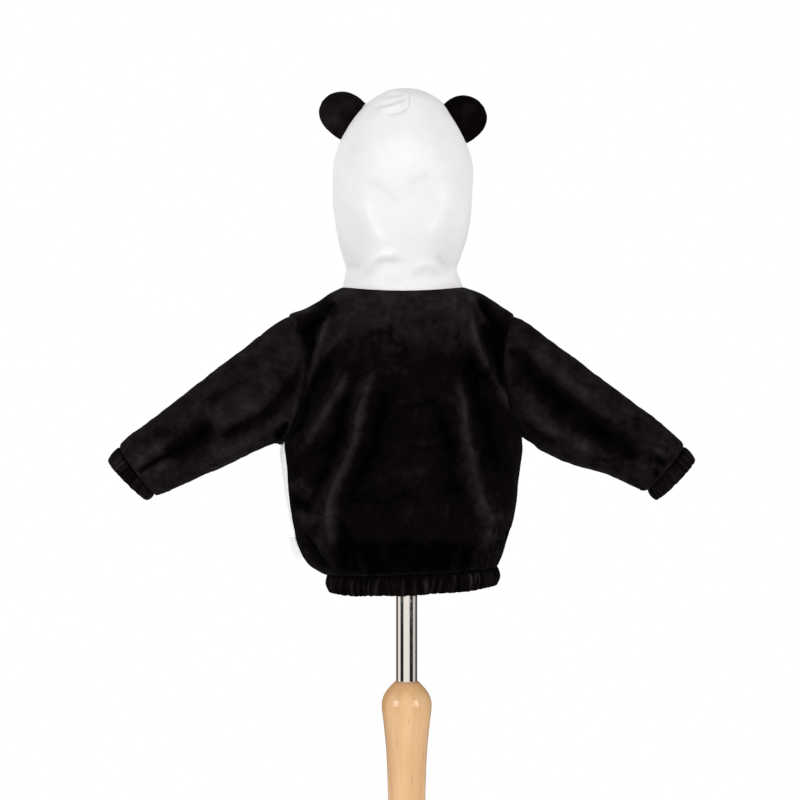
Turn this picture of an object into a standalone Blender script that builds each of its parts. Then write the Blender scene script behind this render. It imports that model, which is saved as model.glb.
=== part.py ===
# Child's costume hoodie with round ears, on a smooth limbless dress form with a turned stand.
# Sizes are in millimetres from the hem upwards until MM turns them into metres; +Z is up, the front faces -Y.
import math

import bmesh
import bpy
import numpy as np

MM = 0.001
GAP = 0.3
CLOTH_WALL = 2.0
ROUNDNESS = 2.2
COLLECTION_NAME = "costume_hoodie"

# Heights above the lower edge of the hem, and the height of that edge above the floor.
HEM_ABOVE_FLOOR = 454.0
BAND_BOTTOM = 9.0
BAND_TOP = 32.0
UNDERARM = 191.0
TIP = 337.0
NECK = 371.0
NECK_DIP_BACK = 7.0
NECK_DIP_FRONT = 20.0
HEM_TILT = 0.044
HEM_TILT_REACH = 80.0
ARMHOLE_BACK = 52.0
ARMHOLE_FRONT = -50.0
TIP_SEAM_Y = -5.0

BACK_COLUMNS = 32
FRONT_COLUMNS = 16
ARMHOLE_TURNS = (155.0, 138.0, 122.0, 106.0, 90.0, 74.0, 58.0, 42.0, 25.0, 0.0)
# Columns and rows of the panels' grids, and over how many of them a fold fades out at an edge.
EDGE_FADE_COLUMNS = 1.6
HEM_FADE_ROWS = 2.5
NECK_FADE_ROWS = 2.0
LOWER_ROWS = (32.0, 35.0, 40.0, 47.0, 57.0, 70.0, 86.0, 102.0, 119.0, 136.0, 153.0, 169.0, 182.0, 191.0)
SHOULDER_ROWS = (345.0, 353.0, 360.0, 366.0, 371.0)

# Body sections: the cloth's outside at each height.
TORSO_COLUMNS = ("height", "centre", "half_width", "back", "front")
TORSO = (
    (32.0, -13.0, 102.0, 73.0, 71.0),
    (36.0, -9.0, 108.0, 81.0, 77.0),
    (46.0, -4.0, 117.0, 89.0, 84.0),
    (68.0, -1.0, 126.5, 93.0, 88.0),
    (107.0, 0.0, 137.0, 96.0, 91.0),
    (150.0, 2.0, 143.5, 97.0, 92.0),
    (178.0, 0.5, 145.5, 96.5, 92.0),
    (200.0, -1.5, 142.5, 95.5, 92.0),
    (226.0, -3.5, 138.5, 94.0, 91.0),
    (264.0, -4.0, 137.5, 91.0, 89.0),
    (300.0, -3.0, 135.0, 86.0, 84.0),
    (337.0, 0.0, 134.5, 76.0, 74.0),
    (347.0, -4.0, 116.5, 72.0, 71.5),
    (356.0, -5.0, 103.0, 68.5, 69.5),
    (364.0, -5.0, 90.0, 65.0, 68.0),
    (371.0, -1.5, 73.0, 62.0, 66.0),
)

# How far behind the middle each side seam runs.
SEAM_COLUMNS = ("height", "left", "right")
SEAMS = (
    (32.0, 10.0, 10.0),
    (60.0, 11.0, 12.0),
    (80.0, 22.0, 4.0),
    (104.0, 29.0, 1.0),
    (128.0, 34.0, 1.0),
    (160.0, 34.0, 4.0),
    (180.0, 27.0, 9.0),
    (191.0, 18.0, 7.0),
)

# Folds of the back, seen from behind: start and end across and up, sideways bow, half width and height.
FOLD_COLUMNS = ("x0", "z0", "x1", "z1", "bow", "width", "height")
BACK_FOLDS = (
    (75.0, 356.0, 112.0, 302.0, 3.0, 9.0, -7.0),
    (70.0, 354.0, 108.0, 258.0, 7.0, 8.0, 6.0),
    (72.0, 312.0, 124.0, 204.0, 4.0, 9.0, -6.0),
    (61.0, 285.0, 124.0, 178.0, 2.0, 9.0, 6.0),
    (55.0, 280.0, 92.0, 83.0, 14.0, 10.0, -6.0),
    (31.0, 284.0, 76.0, 49.0, 18.0, 10.0, 8.0),
    (46.0, 170.0, 64.0, 60.0, 6.0, 13.0, -4.0),
    (-82.0, 358.0, -112.0, 268.0, -6.0, 9.0, -7.0),
    (-84.0, 333.0, -130.0, 200.0, -3.0, 9.0, 6.0),
    (-71.0, 306.0, -102.0, 213.0, -4.0, 9.0, -5.0),
    (-66.0, 272.0, -106.0, 95.0, -4.0, 10.0, 6.0),
    (-81.0, 222.0, -113.0, 103.0, -3.0, 9.0, -5.0),
    (-103.0, 232.0, -130.0, 166.0, -2.0, 8.0, 5.0),
    (104.0, 78.0, 75.0, 38.0, 2.0, 7.0, -4.0),
    (58.0, 70.0, 41.0, 36.0, 2.0, 7.0, -4.0),
    (-72.0, 66.0, -60.0, 38.0, -2.0, 7.0, -4.0),
    (-50.0, 236.0, 8.0, 232.0, 2.0, 8.0, -2.0),
    (-66.0, 186.0, 3.0, 184.0, -2.0, 8.0, 2.0),
    (-30.0, 138.0, 60.0, 122.0, -3.0, 9.0, -2.5),
)
FRONT_FOLDS = (
    (78.0, 348.0, 112.0, 286.0, 4.0, 10.0, -5.0),
    (64.0, 300.0, 110.0, 210.0, 5.0, 11.0, 5.0),
    (48.0, 250.0, 96.0, 90.0, 10.0, 12.0, 5.0),
    (-80.0, 346.0, -112.0, 282.0, -4.0, 10.0, -5.0),
    (-66.0, 290.0, -104.0, 190.0, -6.0, 11.0, 5.0),
    (-52.0, 220.0, -98.0, 80.0, -8.0, 12.0, 5.0),
    (-22.0, 150.0, 30.0, 142.0, 2.0, 10.0, -2.5),
    (10.0, 100.0, 34.0, 44.0, 3.0, 11.0, 3.0),
)

# Sleeve sections from the armhole to the cuff: upper edge, lower edge, half depth; across and up.
SLEEVE_COLUMNS = ("station", "top_x", "top_z", "low_x", "low_z", "depth")
SLEEVE_LEFT = (
    (0.00, 134.5, 337.0, 147.0, 191.0, 52.0),
    (0.07, 154.0, 325.5, 152.0, 189.5, 53.0),
    (0.16, 182.0, 304.0, 159.0, 186.5, 52.0),
    (0.30, 216.0, 278.0, 173.0, 179.0, 49.0),
    (0.45, 248.0, 253.0, 200.0, 164.5, 45.0),
    (0.62, 282.0, 227.0, 238.0, 146.0, 41.0),
    (0.78, 311.0, 204.5, 268.0, 132.0, 37.0),
    (0.90, 327.5, 192.5, 285.0, 124.0, 34.0),
    (0.96, 335.0, 185.5, 293.0, 121.5, 31.0),
    (1.00, 338.5, 180.0, 296.5, 123.5, 27.0),
)
SLEEVE_RIGHT = (
    (0.00, 134.5, 337.0, 147.0, 191.0, 52.0),
    (0.07, 154.0, 327.0, 152.0, 188.0, 53.0),
    (0.16, 182.0, 305.5, 159.0, 184.0, 52.0),
    (0.30, 217.0, 279.5, 173.0, 175.5, 49.0),
    (0.45, 249.0, 255.0, 200.0, 162.5, 45.0),
    (0.62, 283.0, 229.5, 238.0, 149.5, 41.0),
    (0.78, 312.5, 206.5, 268.0, 137.5, 37.0),
    (0.90, 329.0, 193.5, 284.0, 129.5, 34.0),
    (0.96, 335.5, 186.0, 290.5, 127.0, 31.0),
    (1.00, 338.5, 180.5, 295.0, 127.5, 27.0),
)
SLEEVE_ROWS = (0.0, 0.05, 0.11, 0.19, 0.28, 0.38, 0.48, 0.58, 0.68, 0.78, 0.87, 0.94, 1.0)
SLEEVE_LENGTH = 216.0
SLEEVE_EDGE_FADE = 14.0
ARMHOLE_BLEND = 0.45
SLEEVE_GIRTH_RADIUS = 48.0

# Folds of the sleeves: along from the armhole, round from the middle of the back downwards.
SLEEVE_LEFT_FOLDS = (
    (4.0, -6.0, 110.0, -4.0, 3.0, 9.0, -7.0),
    (10.0, -32.0, 84.0, -26.0, 3.0, 10.0, 4.0),
    (90.0, 12.0, 200.0, 16.0, -3.0, 8.0, -6.0),
    (60.0, 22.0, 150.0, 30.0, 2.0, 10.0, 4.0),
    (6.0, 40.0, 60.0, 46.0, 3.0, 9.0, -5.0),
    (150.0, -22.0, 206.0, -16.0, 2.0, 9.0, -4.0),
    (8.0, 150.0, 90.0, 140.0, 4.0, 11.0, -5.0),
    (70.0, 118.0, 190.0, 128.0, 4.0, 11.0, 4.0),
)
SLEEVE_RIGHT_FOLDS = (
    (4.0, -4.0, 120.0, 4.0, 4.0, 9.0, -7.0),
    (12.0, -34.0, 92.0, -22.0, 3.0, 10.0, 4.0),
    (110.0, -2.0, 204.0, -4.0, -3.0, 8.0, -6.0),
    (40.0, 24.0, 140.0, 28.0, 3.0, 11.0, 5.0),
    (6.0, 44.0, 66.0, 42.0, -3.0, 9.0, -5.0),
    (168.0, 22.0, 208.0, 26.0, 2.0, 9.0, 4.0),
    (8.0, 144.0, 96.0, 138.0, -4.0, 11.0, -5.0),
    (70.0, 112.0, 184.0, 122.0, 3.0, 11.0, 4.0),
)

# Elasticated cuffs and hem band.
CUFF_END = (352.5, 163.5, 306.0, 115.5, 28.0)
CUFF_BULGE = 1.6
CUFF_ROWS = 3
CUFF_GATHERS = 15
CUFF_GATHER_HEIGHT = 1.7
BAND_GATHERS = 48
BAND_GATHER_HEIGHT = 1.5
BAND_COLUMNS = ("height", "centre", "half_width", "back", "front")
BAND = (
    (9.0, -13.5, 100.5, 73.0, 70.0),
    (21.0, -13.5, 104.5, 76.0, 73.5),
    (31.6, -13.0, 102.0, 73.0, 71.0),
)
POINTS_PER_GATHER = 4

# Direction that decides which way the quads of a seam's rims are split.
RIM_ORDER = np.array((0.11, 0.37, 1.0))

# Hood sections: the cloth's outside at each height.
HOOD_COLUMNS = ("height", "centre", "half_width", "back", "front")
HOOD = (
    (340.0, -1.5, 73.0, 62.0, 66.0),
    (371.0, -1.5, 73.0, 62.0, 66.0),
    (380.0, -1.5, 70.0, 63.0, 67.0),
    (392.0, -1.0, 67.5, 65.0, 69.0),
    (405.0, -1.0, 70.5, 71.0, 73.0),
    (428.0, -1.0, 77.0, 82.0, 80.0),
    (450.0, -1.0, 81.0, 90.0, 84.0),
    (470.0, -1.0, 83.5, 95.0, 87.0),
    (500.0, -1.5, 84.0, 98.0, 89.0),
    (517.0, -1.5, 83.0, 97.5, 89.0),
    (532.0, -1.5, 80.0, 95.0, 88.0),
    (546.0, -1.5, 75.5, 90.0, 85.0),
    (562.0, -2.0, 68.0, 82.0, 79.0),
    (577.0, -2.5, 58.0, 71.0, 70.0),
    (592.0, -3.5, 44.5, 57.0, 57.0),
    (601.0, -4.5, 31.0, 41.0, 42.0),
    (606.5, -5.0, 17.0, 24.0, 25.0),
    (609.0, -5.5, 0.0, 0.0, 0.0),
)
HOOD_MIDDLE = 480.0
CROWN_ANGLE = 58.0
FOREHEAD_ANGLE = 128.0
FACE_HALF_WIDTH = 60.0
FACE_DEPTH = 75.0
FACE_FULLNESS = 0.55
HOOD_ROWS = 14
HOOD_EDGE_FADE = 1.5
HOOD_FOLD_START = 30.0
HOOD_NEAREST = 20.0
HOOD_FARTHEST = 230.0
HOOD_FOLDS = (
    (46.0, 494.0, 20.0, 426.0, 5.0, 9.0, -2.5),
    (-55.0, 504.0, -26.0, 428.0, -8.0, 10.0, -2.5),
    (50.0, 386.0, -3.0, 403.0, 4.0, 7.0, -2.5),
    (-60.0, 396.0, -41.0, 407.0, 3.0, 7.0, -2.0),
)

# Ears: middle of the base, lean from upright, width and height of the outline, half thickness.
EAR_COLUMNS = ("base_x", "base_z", "lean", "half_width", "height", "half_thickness")
EAR_LEFT = (55.5, 570.5, 56.5, 26.5, 47.0, 10.5)
EAR_RIGHT = (-61.0, 567.5, -59.0, 26.5, 43.0, 10.5)
EAR_Y = 15.0
EAR_GAP = 0.7
EAR_OUTLINE_COLUMNS = ("rise", "width", "thickness")
EAR_OUTLINE = (
    (0.00, 0.93, 0.92),
    (0.12, 0.99, 1.00),
    (0.30, 1.03, 1.04),
    (0.48, 1.00, 1.02),
    (0.64, 0.91, 0.92),
    (0.78, 0.75, 0.76),
    (0.89, 0.55, 0.56),
    (0.96, 0.33, 0.34),
)
EAR_SEGMENTS = 20
EAR_BASE_RINGS = (0.66, 0.33)

# Folded ribbon label in the side seam.
LABEL_BOTTOM = 47.0
LABEL_TOP = 73.0
LABEL_REACH = 12.0
LABEL_THICKNESS = 1.4
LABEL_ROOT_GAP = 0.8

# Stand.
STAND_X = -5.0
FORM_SEGMENTS = 24
FORM_COLUMNS = ("height", "half_width", "back", "front")
FORM = (
    (46.0, 79.0, 55.0, 54.0),
    (48.0, 83.0, 59.0, 58.0),
    (54.0, 86.0, 62.0, 61.0),
    (85.0, 92.0, 68.0, 66.0),
    (130.0, 98.0, 73.0, 70.0),
    (200.0, 105.0, 79.0, 77.0),
    (255.0, 109.0, 80.0, 80.0),
    (300.0, 110.0, 75.0, 76.0),
    (325.0, 109.0, 67.0, 69.0),
    (340.0, 103.0, 61.0, 64.0),
    (350.0, 90.0, 55.0, 58.0),
    (357.0, 76.0, 50.0, 53.0),
    (364.0, 60.0, 46.0, 48.0),
    (372.0, 47.0, 42.0, 43.0),
    (386.0, 42.0, 40.0, 41.0),
    (400.0, 44.0, 43.0, 46.0),
    (414.0, 53.0, 53.0, 55.0),
    (435.0, 64.0, 66.0, 66.0),
    (465.0, 72.0, 79.0, 73.0),
    (500.0, 75.5, 85.0, 76.0),
    (530.0, 72.5, 83.0, 74.0),
    (556.0, 64.0, 74.0, 67.0),
    (577.0, 52.0, 60.0, 57.0),
    (592.0, 37.0, 43.0, 41.0),
    (601.0, 22.0, 25.0, 24.0),
)
FORM_TOP = 605.0
POLE_RADIUS = 12.6
POLE_SEGMENTS = 32
COLUMN_TOP = -102.0
COLUMN_SEGMENTS = 30
COLUMN_PROFILE_COLUMNS = ("radius", "drop")
COLUMN_PROFILE = (
    (16.0, 0.0),
    (21.0, 2.0),
    (25.5, 7.0),
    (29.5, 18.0),
    (30.6, 29.0),
    (30.0, 42.0),
    (28.2, 60.0),
    (25.8, 88.0),
    (23.8, 120.0),
    (23.0, 160.0),
    (23.4, 230.0),
    (25.5, 280.0),
    (30.0, 312.0),
    (36.0, 327.0),
)
BASE_HEIGHT = 24.0
BASE_SEGMENTS = 48
BASE_RADIUS = 145.0
BASE_PROFILE = (
    (BASE_RADIUS - 14.0, 0.0),
    (BASE_RADIUS - 6.0, 3.0),
    (BASE_RADIUS - 1.0, 9.0),
    (BASE_RADIUS, 15.0),
    (BASE_RADIUS - 1.0, 21.0),
    (BASE_RADIUS - 3.0, BASE_HEIGHT),
)

# Colours: red, green, blue, roughness, metal.
MATERIALS = {
    "black_velour": (0.018, 0.017, 0.019, 0.9, 0.0),
    "white_velour": (0.86, 0.85, 0.84, 0.9, 0.0),
    "white_ribbon": (0.90, 0.90, 0.90, 0.6, 0.0),
    "cream_form": (0.80, 0.76, 0.70, 0.6, 0.0),
    "chrome": (0.80, 0.80, 0.82, 0.12, 1.0),
    "light_beech": (0.78, 0.62, 0.44, 0.4, 0.0),
}


# Tables.

def steady_curve(knots, values, at):
    """Smooth curve through a table's values that never overshoots them."""
    knots = np.asarray(knots, float)
    values = np.asarray(values, float)
    step = np.diff(knots)
    slope = np.diff(values) / step
    tangent = np.zeros(len(knots))
    tangent[0] = slope[0]
    tangent[-1] = slope[-1]
    for k in range(1, len(knots) - 1):
        if slope[k - 1] * slope[k] > 0.0:
            before = 2.0 * step[k] + step[k - 1]
            after = step[k] + 2.0 * step[k - 1]
            tangent[k] = (before + after) / (before / slope[k - 1] + after / slope[k])
    at = np.clip(np.asarray(at, float), knots[0], knots[-1])
    k = np.clip(np.searchsorted(knots, at) - 1, 0, len(step) - 1)
    t = (at - knots[k]) / step[k]
    left = values[k] * (1 + 2 * t) * (1 - t) ** 2 + tangent[k] * step[k] * t * (1 - t) ** 2
    right = values[k + 1] * t * t * (3 - 2 * t) + tangent[k + 1] * step[k] * t * t * (t - 1)
    return left + right


def read(rows, names, name, at):
    """One column of a table, read at values of the table's first column."""
    array = np.asarray(rows, float)
    return steady_curve(array[:, 0], array[:, names.index(name)], at)


def ease(value):
    """Smooth step from 0 to 1."""
    value = np.clip(value, 0.0, 1.0)
    return value * value * (3.0 - 2.0 * value)


def signed_power(value, power):
    return np.sign(value) * np.abs(value) ** power


# Body cloth.

def oval(rows, names, height, angle):
    """Point on an oval section; angle 0 is the +X side and 90 degrees the middle of the back."""
    height = np.asarray(height, float) + 0.0 * np.asarray(angle, float)
    power = 2.0 / ROUNDNESS
    across = signed_power(np.cos(angle), power)
    deep = signed_power(np.sin(angle), power)
    back = read(rows, names, "back", height)
    front = read(rows, names, "front", height)
    x = read(rows, names, "centre", height) + read(rows, names, "half_width", height) * across
    y = np.where(deep >= 0.0, back, front) * deep
    return np.stack((x, y, height), axis=-1)


def hem_tilt(point):
    """The hem hangs a little lower on the +X side."""
    reach = 1.0 - ease((point[..., 2] - BAND_TOP) / HEM_TILT_REACH)
    tilted = point.copy()
    tilted[..., 2] -= HEM_TILT * point[..., 0] * reach
    return tilted


def torso(height, angle):
    """Point on the outside of the body cloth, before its folds."""
    point = oval(TORSO, TORSO_COLUMNS, height, angle)
    rise = np.clip((point[..., 2] - TIP) / (NECK - TIP), 0.0, 1.0)
    dip = np.where(np.sin(angle) >= 0.0, NECK_DIP_BACK, NECK_DIP_FRONT)
    point[..., 2] -= rise * dip * np.sin(angle) ** 2
    return hem_tilt(point)


def armhole_height(turn):
    """Height on the armhole for a turn from the shoulder tip (0) to the underarm (pi)."""
    middle = 0.5 * (TIP + UNDERARM)
    return middle + 0.5 * (TIP - UNDERARM) * math.cos(turn)


def seam_y(height, name):
    """How far back the side seam, the armhole's middle line or the shoulder seam is."""
    under = read(SEAMS, SEAM_COLUMNS, name, height)
    rise = ease((height - UNDERARM) / (TIP - UNDERARM))
    neck = ease((height - TIP) / (NECK - TIP))
    return under * (1.0 - rise) + TIP_SEAM_Y * rise * (1.0 - 0.4 * neck)


def angle_at(height, y, name):
    """Section angle where the body cloth is y behind the middle, on one side."""
    column = "back" if y >= 0.0 else "front"
    depth = float(read(TORSO, TORSO_COLUMNS, column, height))
    angle = math.copysign(math.asin(min(1.0, abs(y) / depth) ** (ROUNDNESS / 2.0)), y)
    return angle if name == "left" else math.pi - angle


def edge_rows():
    """Heights of the rows of both body panels, with the armhole turn or None."""
    rows = [(height, None) for height in LOWER_ROWS]
    for degrees in ARMHOLE_TURNS:
        turn = math.radians(degrees)
        rows.append((armhole_height(turn), turn))
    return rows + [(height, None) for height in SHOULDER_ROWS]


def edge_angle(height, turn, name, panel):
    """Section angle of a panel's edge: side seam, armhole or shoulder seam."""
    y = float(seam_y(height, name))
    if turn is not None:
        reach = ARMHOLE_BACK if panel == "back" else ARMHOLE_FRONT
        y += (reach - y) * math.sin(turn)
    return angle_at(height, y, name)


def fold_relief(rows, across, up):
    """Height of soft ridges (positive) and troughs (negative) laid along bowed lines."""
    total = np.zeros(np.shape(across))
    for x0, z0, x1, z1, bow, width, height in rows:
        span = math.hypot(x1 - x0, z1 - z0)
        side_x = -(z1 - z0) / span
        side_z = (x1 - x0) / span
        best = np.full(np.shape(across), 1e9)
        place = np.zeros(np.shape(across))
        for t in np.linspace(0.0, 1.0, 25):
            bowed = -4.0 * bow * t * (1.0 - t)
            line_x = x0 + (x1 - x0) * t + side_x * bowed * math.copysign(1.0, side_x)
            line_z = z0 + (z1 - z0) * t + side_z * bowed * math.copysign(1.0, side_x)
            away = np.hypot(across - line_x, up - line_z)
            place = np.where(away < best, t, place)
            best = np.minimum(best, away)
        taper = ease(place / 0.22 + 0.15) * ease((1.0 - place) / 0.3 + 0.1)
        total += height * taper * np.exp(-((best / width) ** 2))
    return total


def grid_normals(points, closed, turn):
    """Unit normals of a grid of points; turn is 1 or -1 so that they face outwards."""
    if closed:
        along = np.roll(points, -1, axis=1) - np.roll(points, 1, axis=1)
    else:
        along = np.gradient(points, axis=1)
    up = np.gradient(points, axis=0)
    normal = turn * np.cross(along, up)
    normal /= np.maximum(np.linalg.norm(normal, axis=-1, keepdims=True), 1e-9)
    if not closed:
        for i, near_i in ((0, 1), (-1, -2)):
            for j, near_j in ((0, 1), (-1, -2)):
                corner = normal[near_i, j] + normal[i, near_j] + normal[near_i, near_j]
                normal[i, j] = corner / np.linalg.norm(corner)
    return normal


def body_panel(panel):
    """Grid of the back or the front panel, with its folds."""
    columns = BACK_COLUMNS if panel == "back" else FRONT_COLUMNS
    share = np.linspace(0.0, 1.0, columns + 1)
    rows = []
    for height, turn in edge_rows():
        left = edge_angle(height, turn, "left", panel)
        right = edge_angle(height, turn, "right", panel)
        if panel == "front":
            left, right = right, left + 2.0 * math.pi
        rows.append(torso(height, left + (right - left) * share))
    points = np.array(rows)
    normals = grid_normals(points, False, 1.0)
    folds = BACK_FOLDS if panel == "back" else FRONT_FOLDS
    relief = fold_relief(folds, points[..., 0], points[..., 2])
    edge = np.minimum(share, 1.0 - share) * columns
    edge_fade = ease(edge / EDGE_FADE_COLUMNS)
    row = np.arange(len(points))
    row_fade = ease(row / HEM_FADE_ROWS) * ease((len(points) - 1 - row) / NECK_FADE_ROWS)
    return points + normals * (relief * edge_fade[None, :] * row_fade[:, None])[..., None]


# Sleeves and cuffs.

def armhole_loop(back_panel, front_panel, name):
    """Points round an armhole from the shoulder tip down the back and up the front."""
    first = len(LOWER_ROWS) - 1
    last = first + len(ARMHOLE_TURNS)
    column = 0 if name == "left" else -1
    back = back_panel[first:last + 1, column]
    column = -1 if name == "left" else 0
    front = front_panel[first:last + 1, column]
    return np.concatenate((back[::-1], front[1:-1]))


def ring(top, low, depth, turns, side):
    """Oval ring between an upper and a lower point; the turn starts at the top and goes over the back."""
    centre = 0.5 * (top + low)
    half = 0.5 * (top - low)
    x = side * (centre[0] + half[0] * np.cos(turns))
    z = centre[1] + half[1] * np.cos(turns)
    return np.stack((x, depth * np.sin(turns), z), axis=-1)


def sleeve_ring(station, turns, side):
    rows = SLEEVE_LEFT if side > 0 else SLEEVE_RIGHT
    values = [float(read(rows, SLEEVE_COLUMNS, name, station)) for name in SLEEVE_COLUMNS[1:]]
    return ring(np.array(values[0:2]), np.array(values[2:4]), values[4], turns, side)


def sleeve(loop, side, folds):
    """Grid of a sleeve from its armhole loop to the cuff seam."""
    down = ARMHOLE_TURNS[::-1] + (180.0,)
    turns = np.radians(down + tuple(360.0 - turn for turn in down[-2:0:-1]))
    start = loop - sleeve_ring(0.0, turns, side)
    rows = []
    for station in SLEEVE_ROWS:
        keep = 1.0 - float(ease(station / ARMHOLE_BLEND))
        rows.append(sleeve_ring(station, turns, side) + start * keep)
    points = np.array(rows)
    normals = grid_normals(points, True, -side)
    along = np.array(SLEEVE_ROWS)[:, None] * SLEEVE_LENGTH + 0.0 * turns[None, :]
    wrapped = (turns - 0.5 * math.pi + math.pi) % (2.0 * math.pi) - math.pi
    around = wrapped[None, :] * SLEEVE_GIRTH_RADIUS + 0.0 * along
    relief = fold_relief(folds, along, around)
    fade = ease(along / SLEEVE_EDGE_FADE) * ease((SLEEVE_LENGTH - along) / SLEEVE_EDGE_FADE)
    return points + normals * (relief * fade)[..., None]


def gather_wave(turns, gathers, height):
    """Uneven gathers: ridges round an elasticated edge, fewer than a full height deep on some."""
    swell = 0.82 + 0.18 * np.sin(3.0 * turns + 0.7) * np.cos(5.0 * turns)
    return height * swell * np.cos(gathers * turns)


def cuff(side):
    """Grid of a cuff, gathered, from the sleeve's end to the open end."""
    turns = np.linspace(0.0, 2.0 * math.pi, CUFF_GATHERS * POINTS_PER_GATHER + 1)[:-1]
    start = sleeve_ring(1.0, turns, side)
    end = ring(np.array(CUFF_END[0:2]), np.array(CUFF_END[2:4]), CUFF_END[4], turns, side)
    rows = []
    for share in np.linspace(0.0, 1.0, CUFF_ROWS):
        row = start + (end - start) * share
        centre = row.mean(axis=0)
        out = row - centre
        out /= np.linalg.norm(out, axis=-1, keepdims=True)
        bulge = CUFF_BULGE * math.sin(math.pi * share)
        wave = gather_wave(turns, CUFF_GATHERS, CUFF_GATHER_HEIGHT) - CUFF_GATHER_HEIGHT
        rows.append(row + out * (wave + bulge)[..., None])
    return np.array(rows)


def hem_band():
    """Grid of the gathered hem band from its lower edge up to the body."""
    turns = np.linspace(0.0, 2.0 * math.pi, BAND_GATHERS * POINTS_PER_GATHER + 1)[:-1]
    rows = []
    for height in (row[0] for row in BAND):
        row = oval(BAND, BAND_COLUMNS, height, turns)
        out = np.stack((np.cos(turns), np.sin(turns), 0.0 * turns), axis=-1)
        wave = gather_wave(turns, BAND_GATHERS, BAND_GATHER_HEIGHT)
        rows.append(hem_tilt(row + out * wave[..., None]))
    return np.array(rows)


# Hood and ears.

def hood_level(point):
    """Below 1 inside the hood's sections and above 1 outside; the point is straightened to the middle."""
    x, y, z = point
    half = max(float(read(HOOD, HOOD_COLUMNS, "half_width", z)), 1e-6)
    depth = max(float(read(HOOD, HOOD_COLUMNS, "back" if y >= 0.0 else "front", z)), 1e-6)
    return (abs(x) / half) ** ROUNDNESS + (abs(y) / depth) ** ROUNDNESS


def on_hood(aim):
    """Point of the hood's outside, straightened to the middle, in the direction of aim."""
    centre = np.array((0.0, 0.0, HOOD_MIDDLE))
    way = np.asarray(aim, float) - centre
    way /= np.linalg.norm(way)
    near = HOOD_NEAREST
    far = HOOD_FARTHEST
    top = HOOD[-1][0]
    for _ in range(40):
        middle = 0.5 * (near + far)
        point = centre + way * middle
        outside = point[2] > top or hood_level(point) > 1.0
        near, far = (near, middle) if outside else (middle, far)
    return centre + way * near


def lean_to_middle(point):
    """Put a straightened hood point back beside the hood's own middle line."""
    moved = np.array(point, float)
    moved[..., 0] += read(HOOD, HOOD_COLUMNS, "centre", moved[..., 2])
    return moved


def middle_line(angle):
    """Hood point on the centre seam; 0 degrees is straight back and 90 straight up."""
    aim = (0.0, 100.0 * math.cos(math.radians(angle)), HOOD_MIDDLE + 100.0 * math.sin(math.radians(angle)))
    return on_hood(aim)


def face_edge(share, forehead, chin):
    """Hood point on the edge of the face opening, from the chin (0) to the forehead (1)."""
    width = FACE_HALF_WIDTH * max(math.sin(math.pi * share), 0.0) ** FACE_FULLNESS
    height = chin[2] + (forehead[2] - chin[2]) * (0.5 - 0.5 * math.cos(math.pi * share))
    return on_hood((width, -FACE_DEPTH, height))


def hood_half(neck_loop, side):
    """Grid of one hood half: columns from the back to the face, rows from the neck to the crown."""
    columns = len(neck_loop) - 1
    neck = neck_loop.copy()
    neck[:, 0] = np.abs(neck[:, 0] - read(HOOD, HOOD_COLUMNS, "centre", neck[:, 2]))
    nape = neck[0]
    chin = neck[-1]
    forehead = middle_line(FOREHEAD_ANGLE)
    nape_angle = math.degrees(math.atan2(nape[2] - HOOD_MIDDLE, nape[1]))
    u = np.linspace(0.0, 1.0, columns + 1)
    v = np.linspace(0.0, 1.0, HOOD_ROWS + 1)
    back = np.array([middle_line(nape_angle + (CROWN_ANGLE - nape_angle) * t) for t in v])
    top = np.array([middle_line(CROWN_ANGLE + (FOREHEAD_ANGLE - CROWN_ANGLE) * t) for t in u])
    face = np.array([face_edge(t, forehead, chin) for t in v])
    face[0] = chin
    face[-1] = forehead
    points = np.zeros((HOOD_ROWS + 1, columns + 1, 3))
    for i, b in enumerate(v):
        for j, a in enumerate(u):
            cross = (1 - a) * (1 - b) * nape + a * (1 - b) * chin + (1 - a) * b * back[-1] + a * b * forehead
            aim = (1 - b) * neck[j] + b * top[j] + (1 - a) * back[i] + a * face[i] - cross
            points[i, j] = on_hood(aim)
    points[0] = neck
    points[:, 0] = back
    points[0, 0] = nape
    points[-1] = top
    points[:, -1] = face
    points[:, :, 0] *= side
    points = lean_to_middle(points)
    normals = grid_normals(points, False, side)
    relief = fold_relief(HOOD_FOLDS, points[..., 0], points[..., 2]) * ease(points[..., 1] / HOOD_FOLD_START)
    inner = ease(np.minimum(u, 1.0 - u) * columns / HOOD_EDGE_FADE)
    rise = ease(np.minimum(v, 1.0 - v) * HOOD_ROWS / HOOD_EDGE_FADE)
    return points + normals * (relief * inner[None, :] * rise[:, None])[..., None]


def hood_neck_loop(back_panel, front_panel, side):
    """Neckline points from the middle of the back round one side to the middle of the front."""
    back = back_panel[-1]
    front = front_panel[-1]
    half_back = BACK_COLUMNS // 2
    half_front = FRONT_COLUMNS // 2
    if side > 0:
        loop = np.concatenate((back[half_back::-2], front[:half_front - 1:-1][1:]))
    else:
        loop = np.concatenate((back[half_back::2], front[1:half_front + 1]))
    return loop


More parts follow.
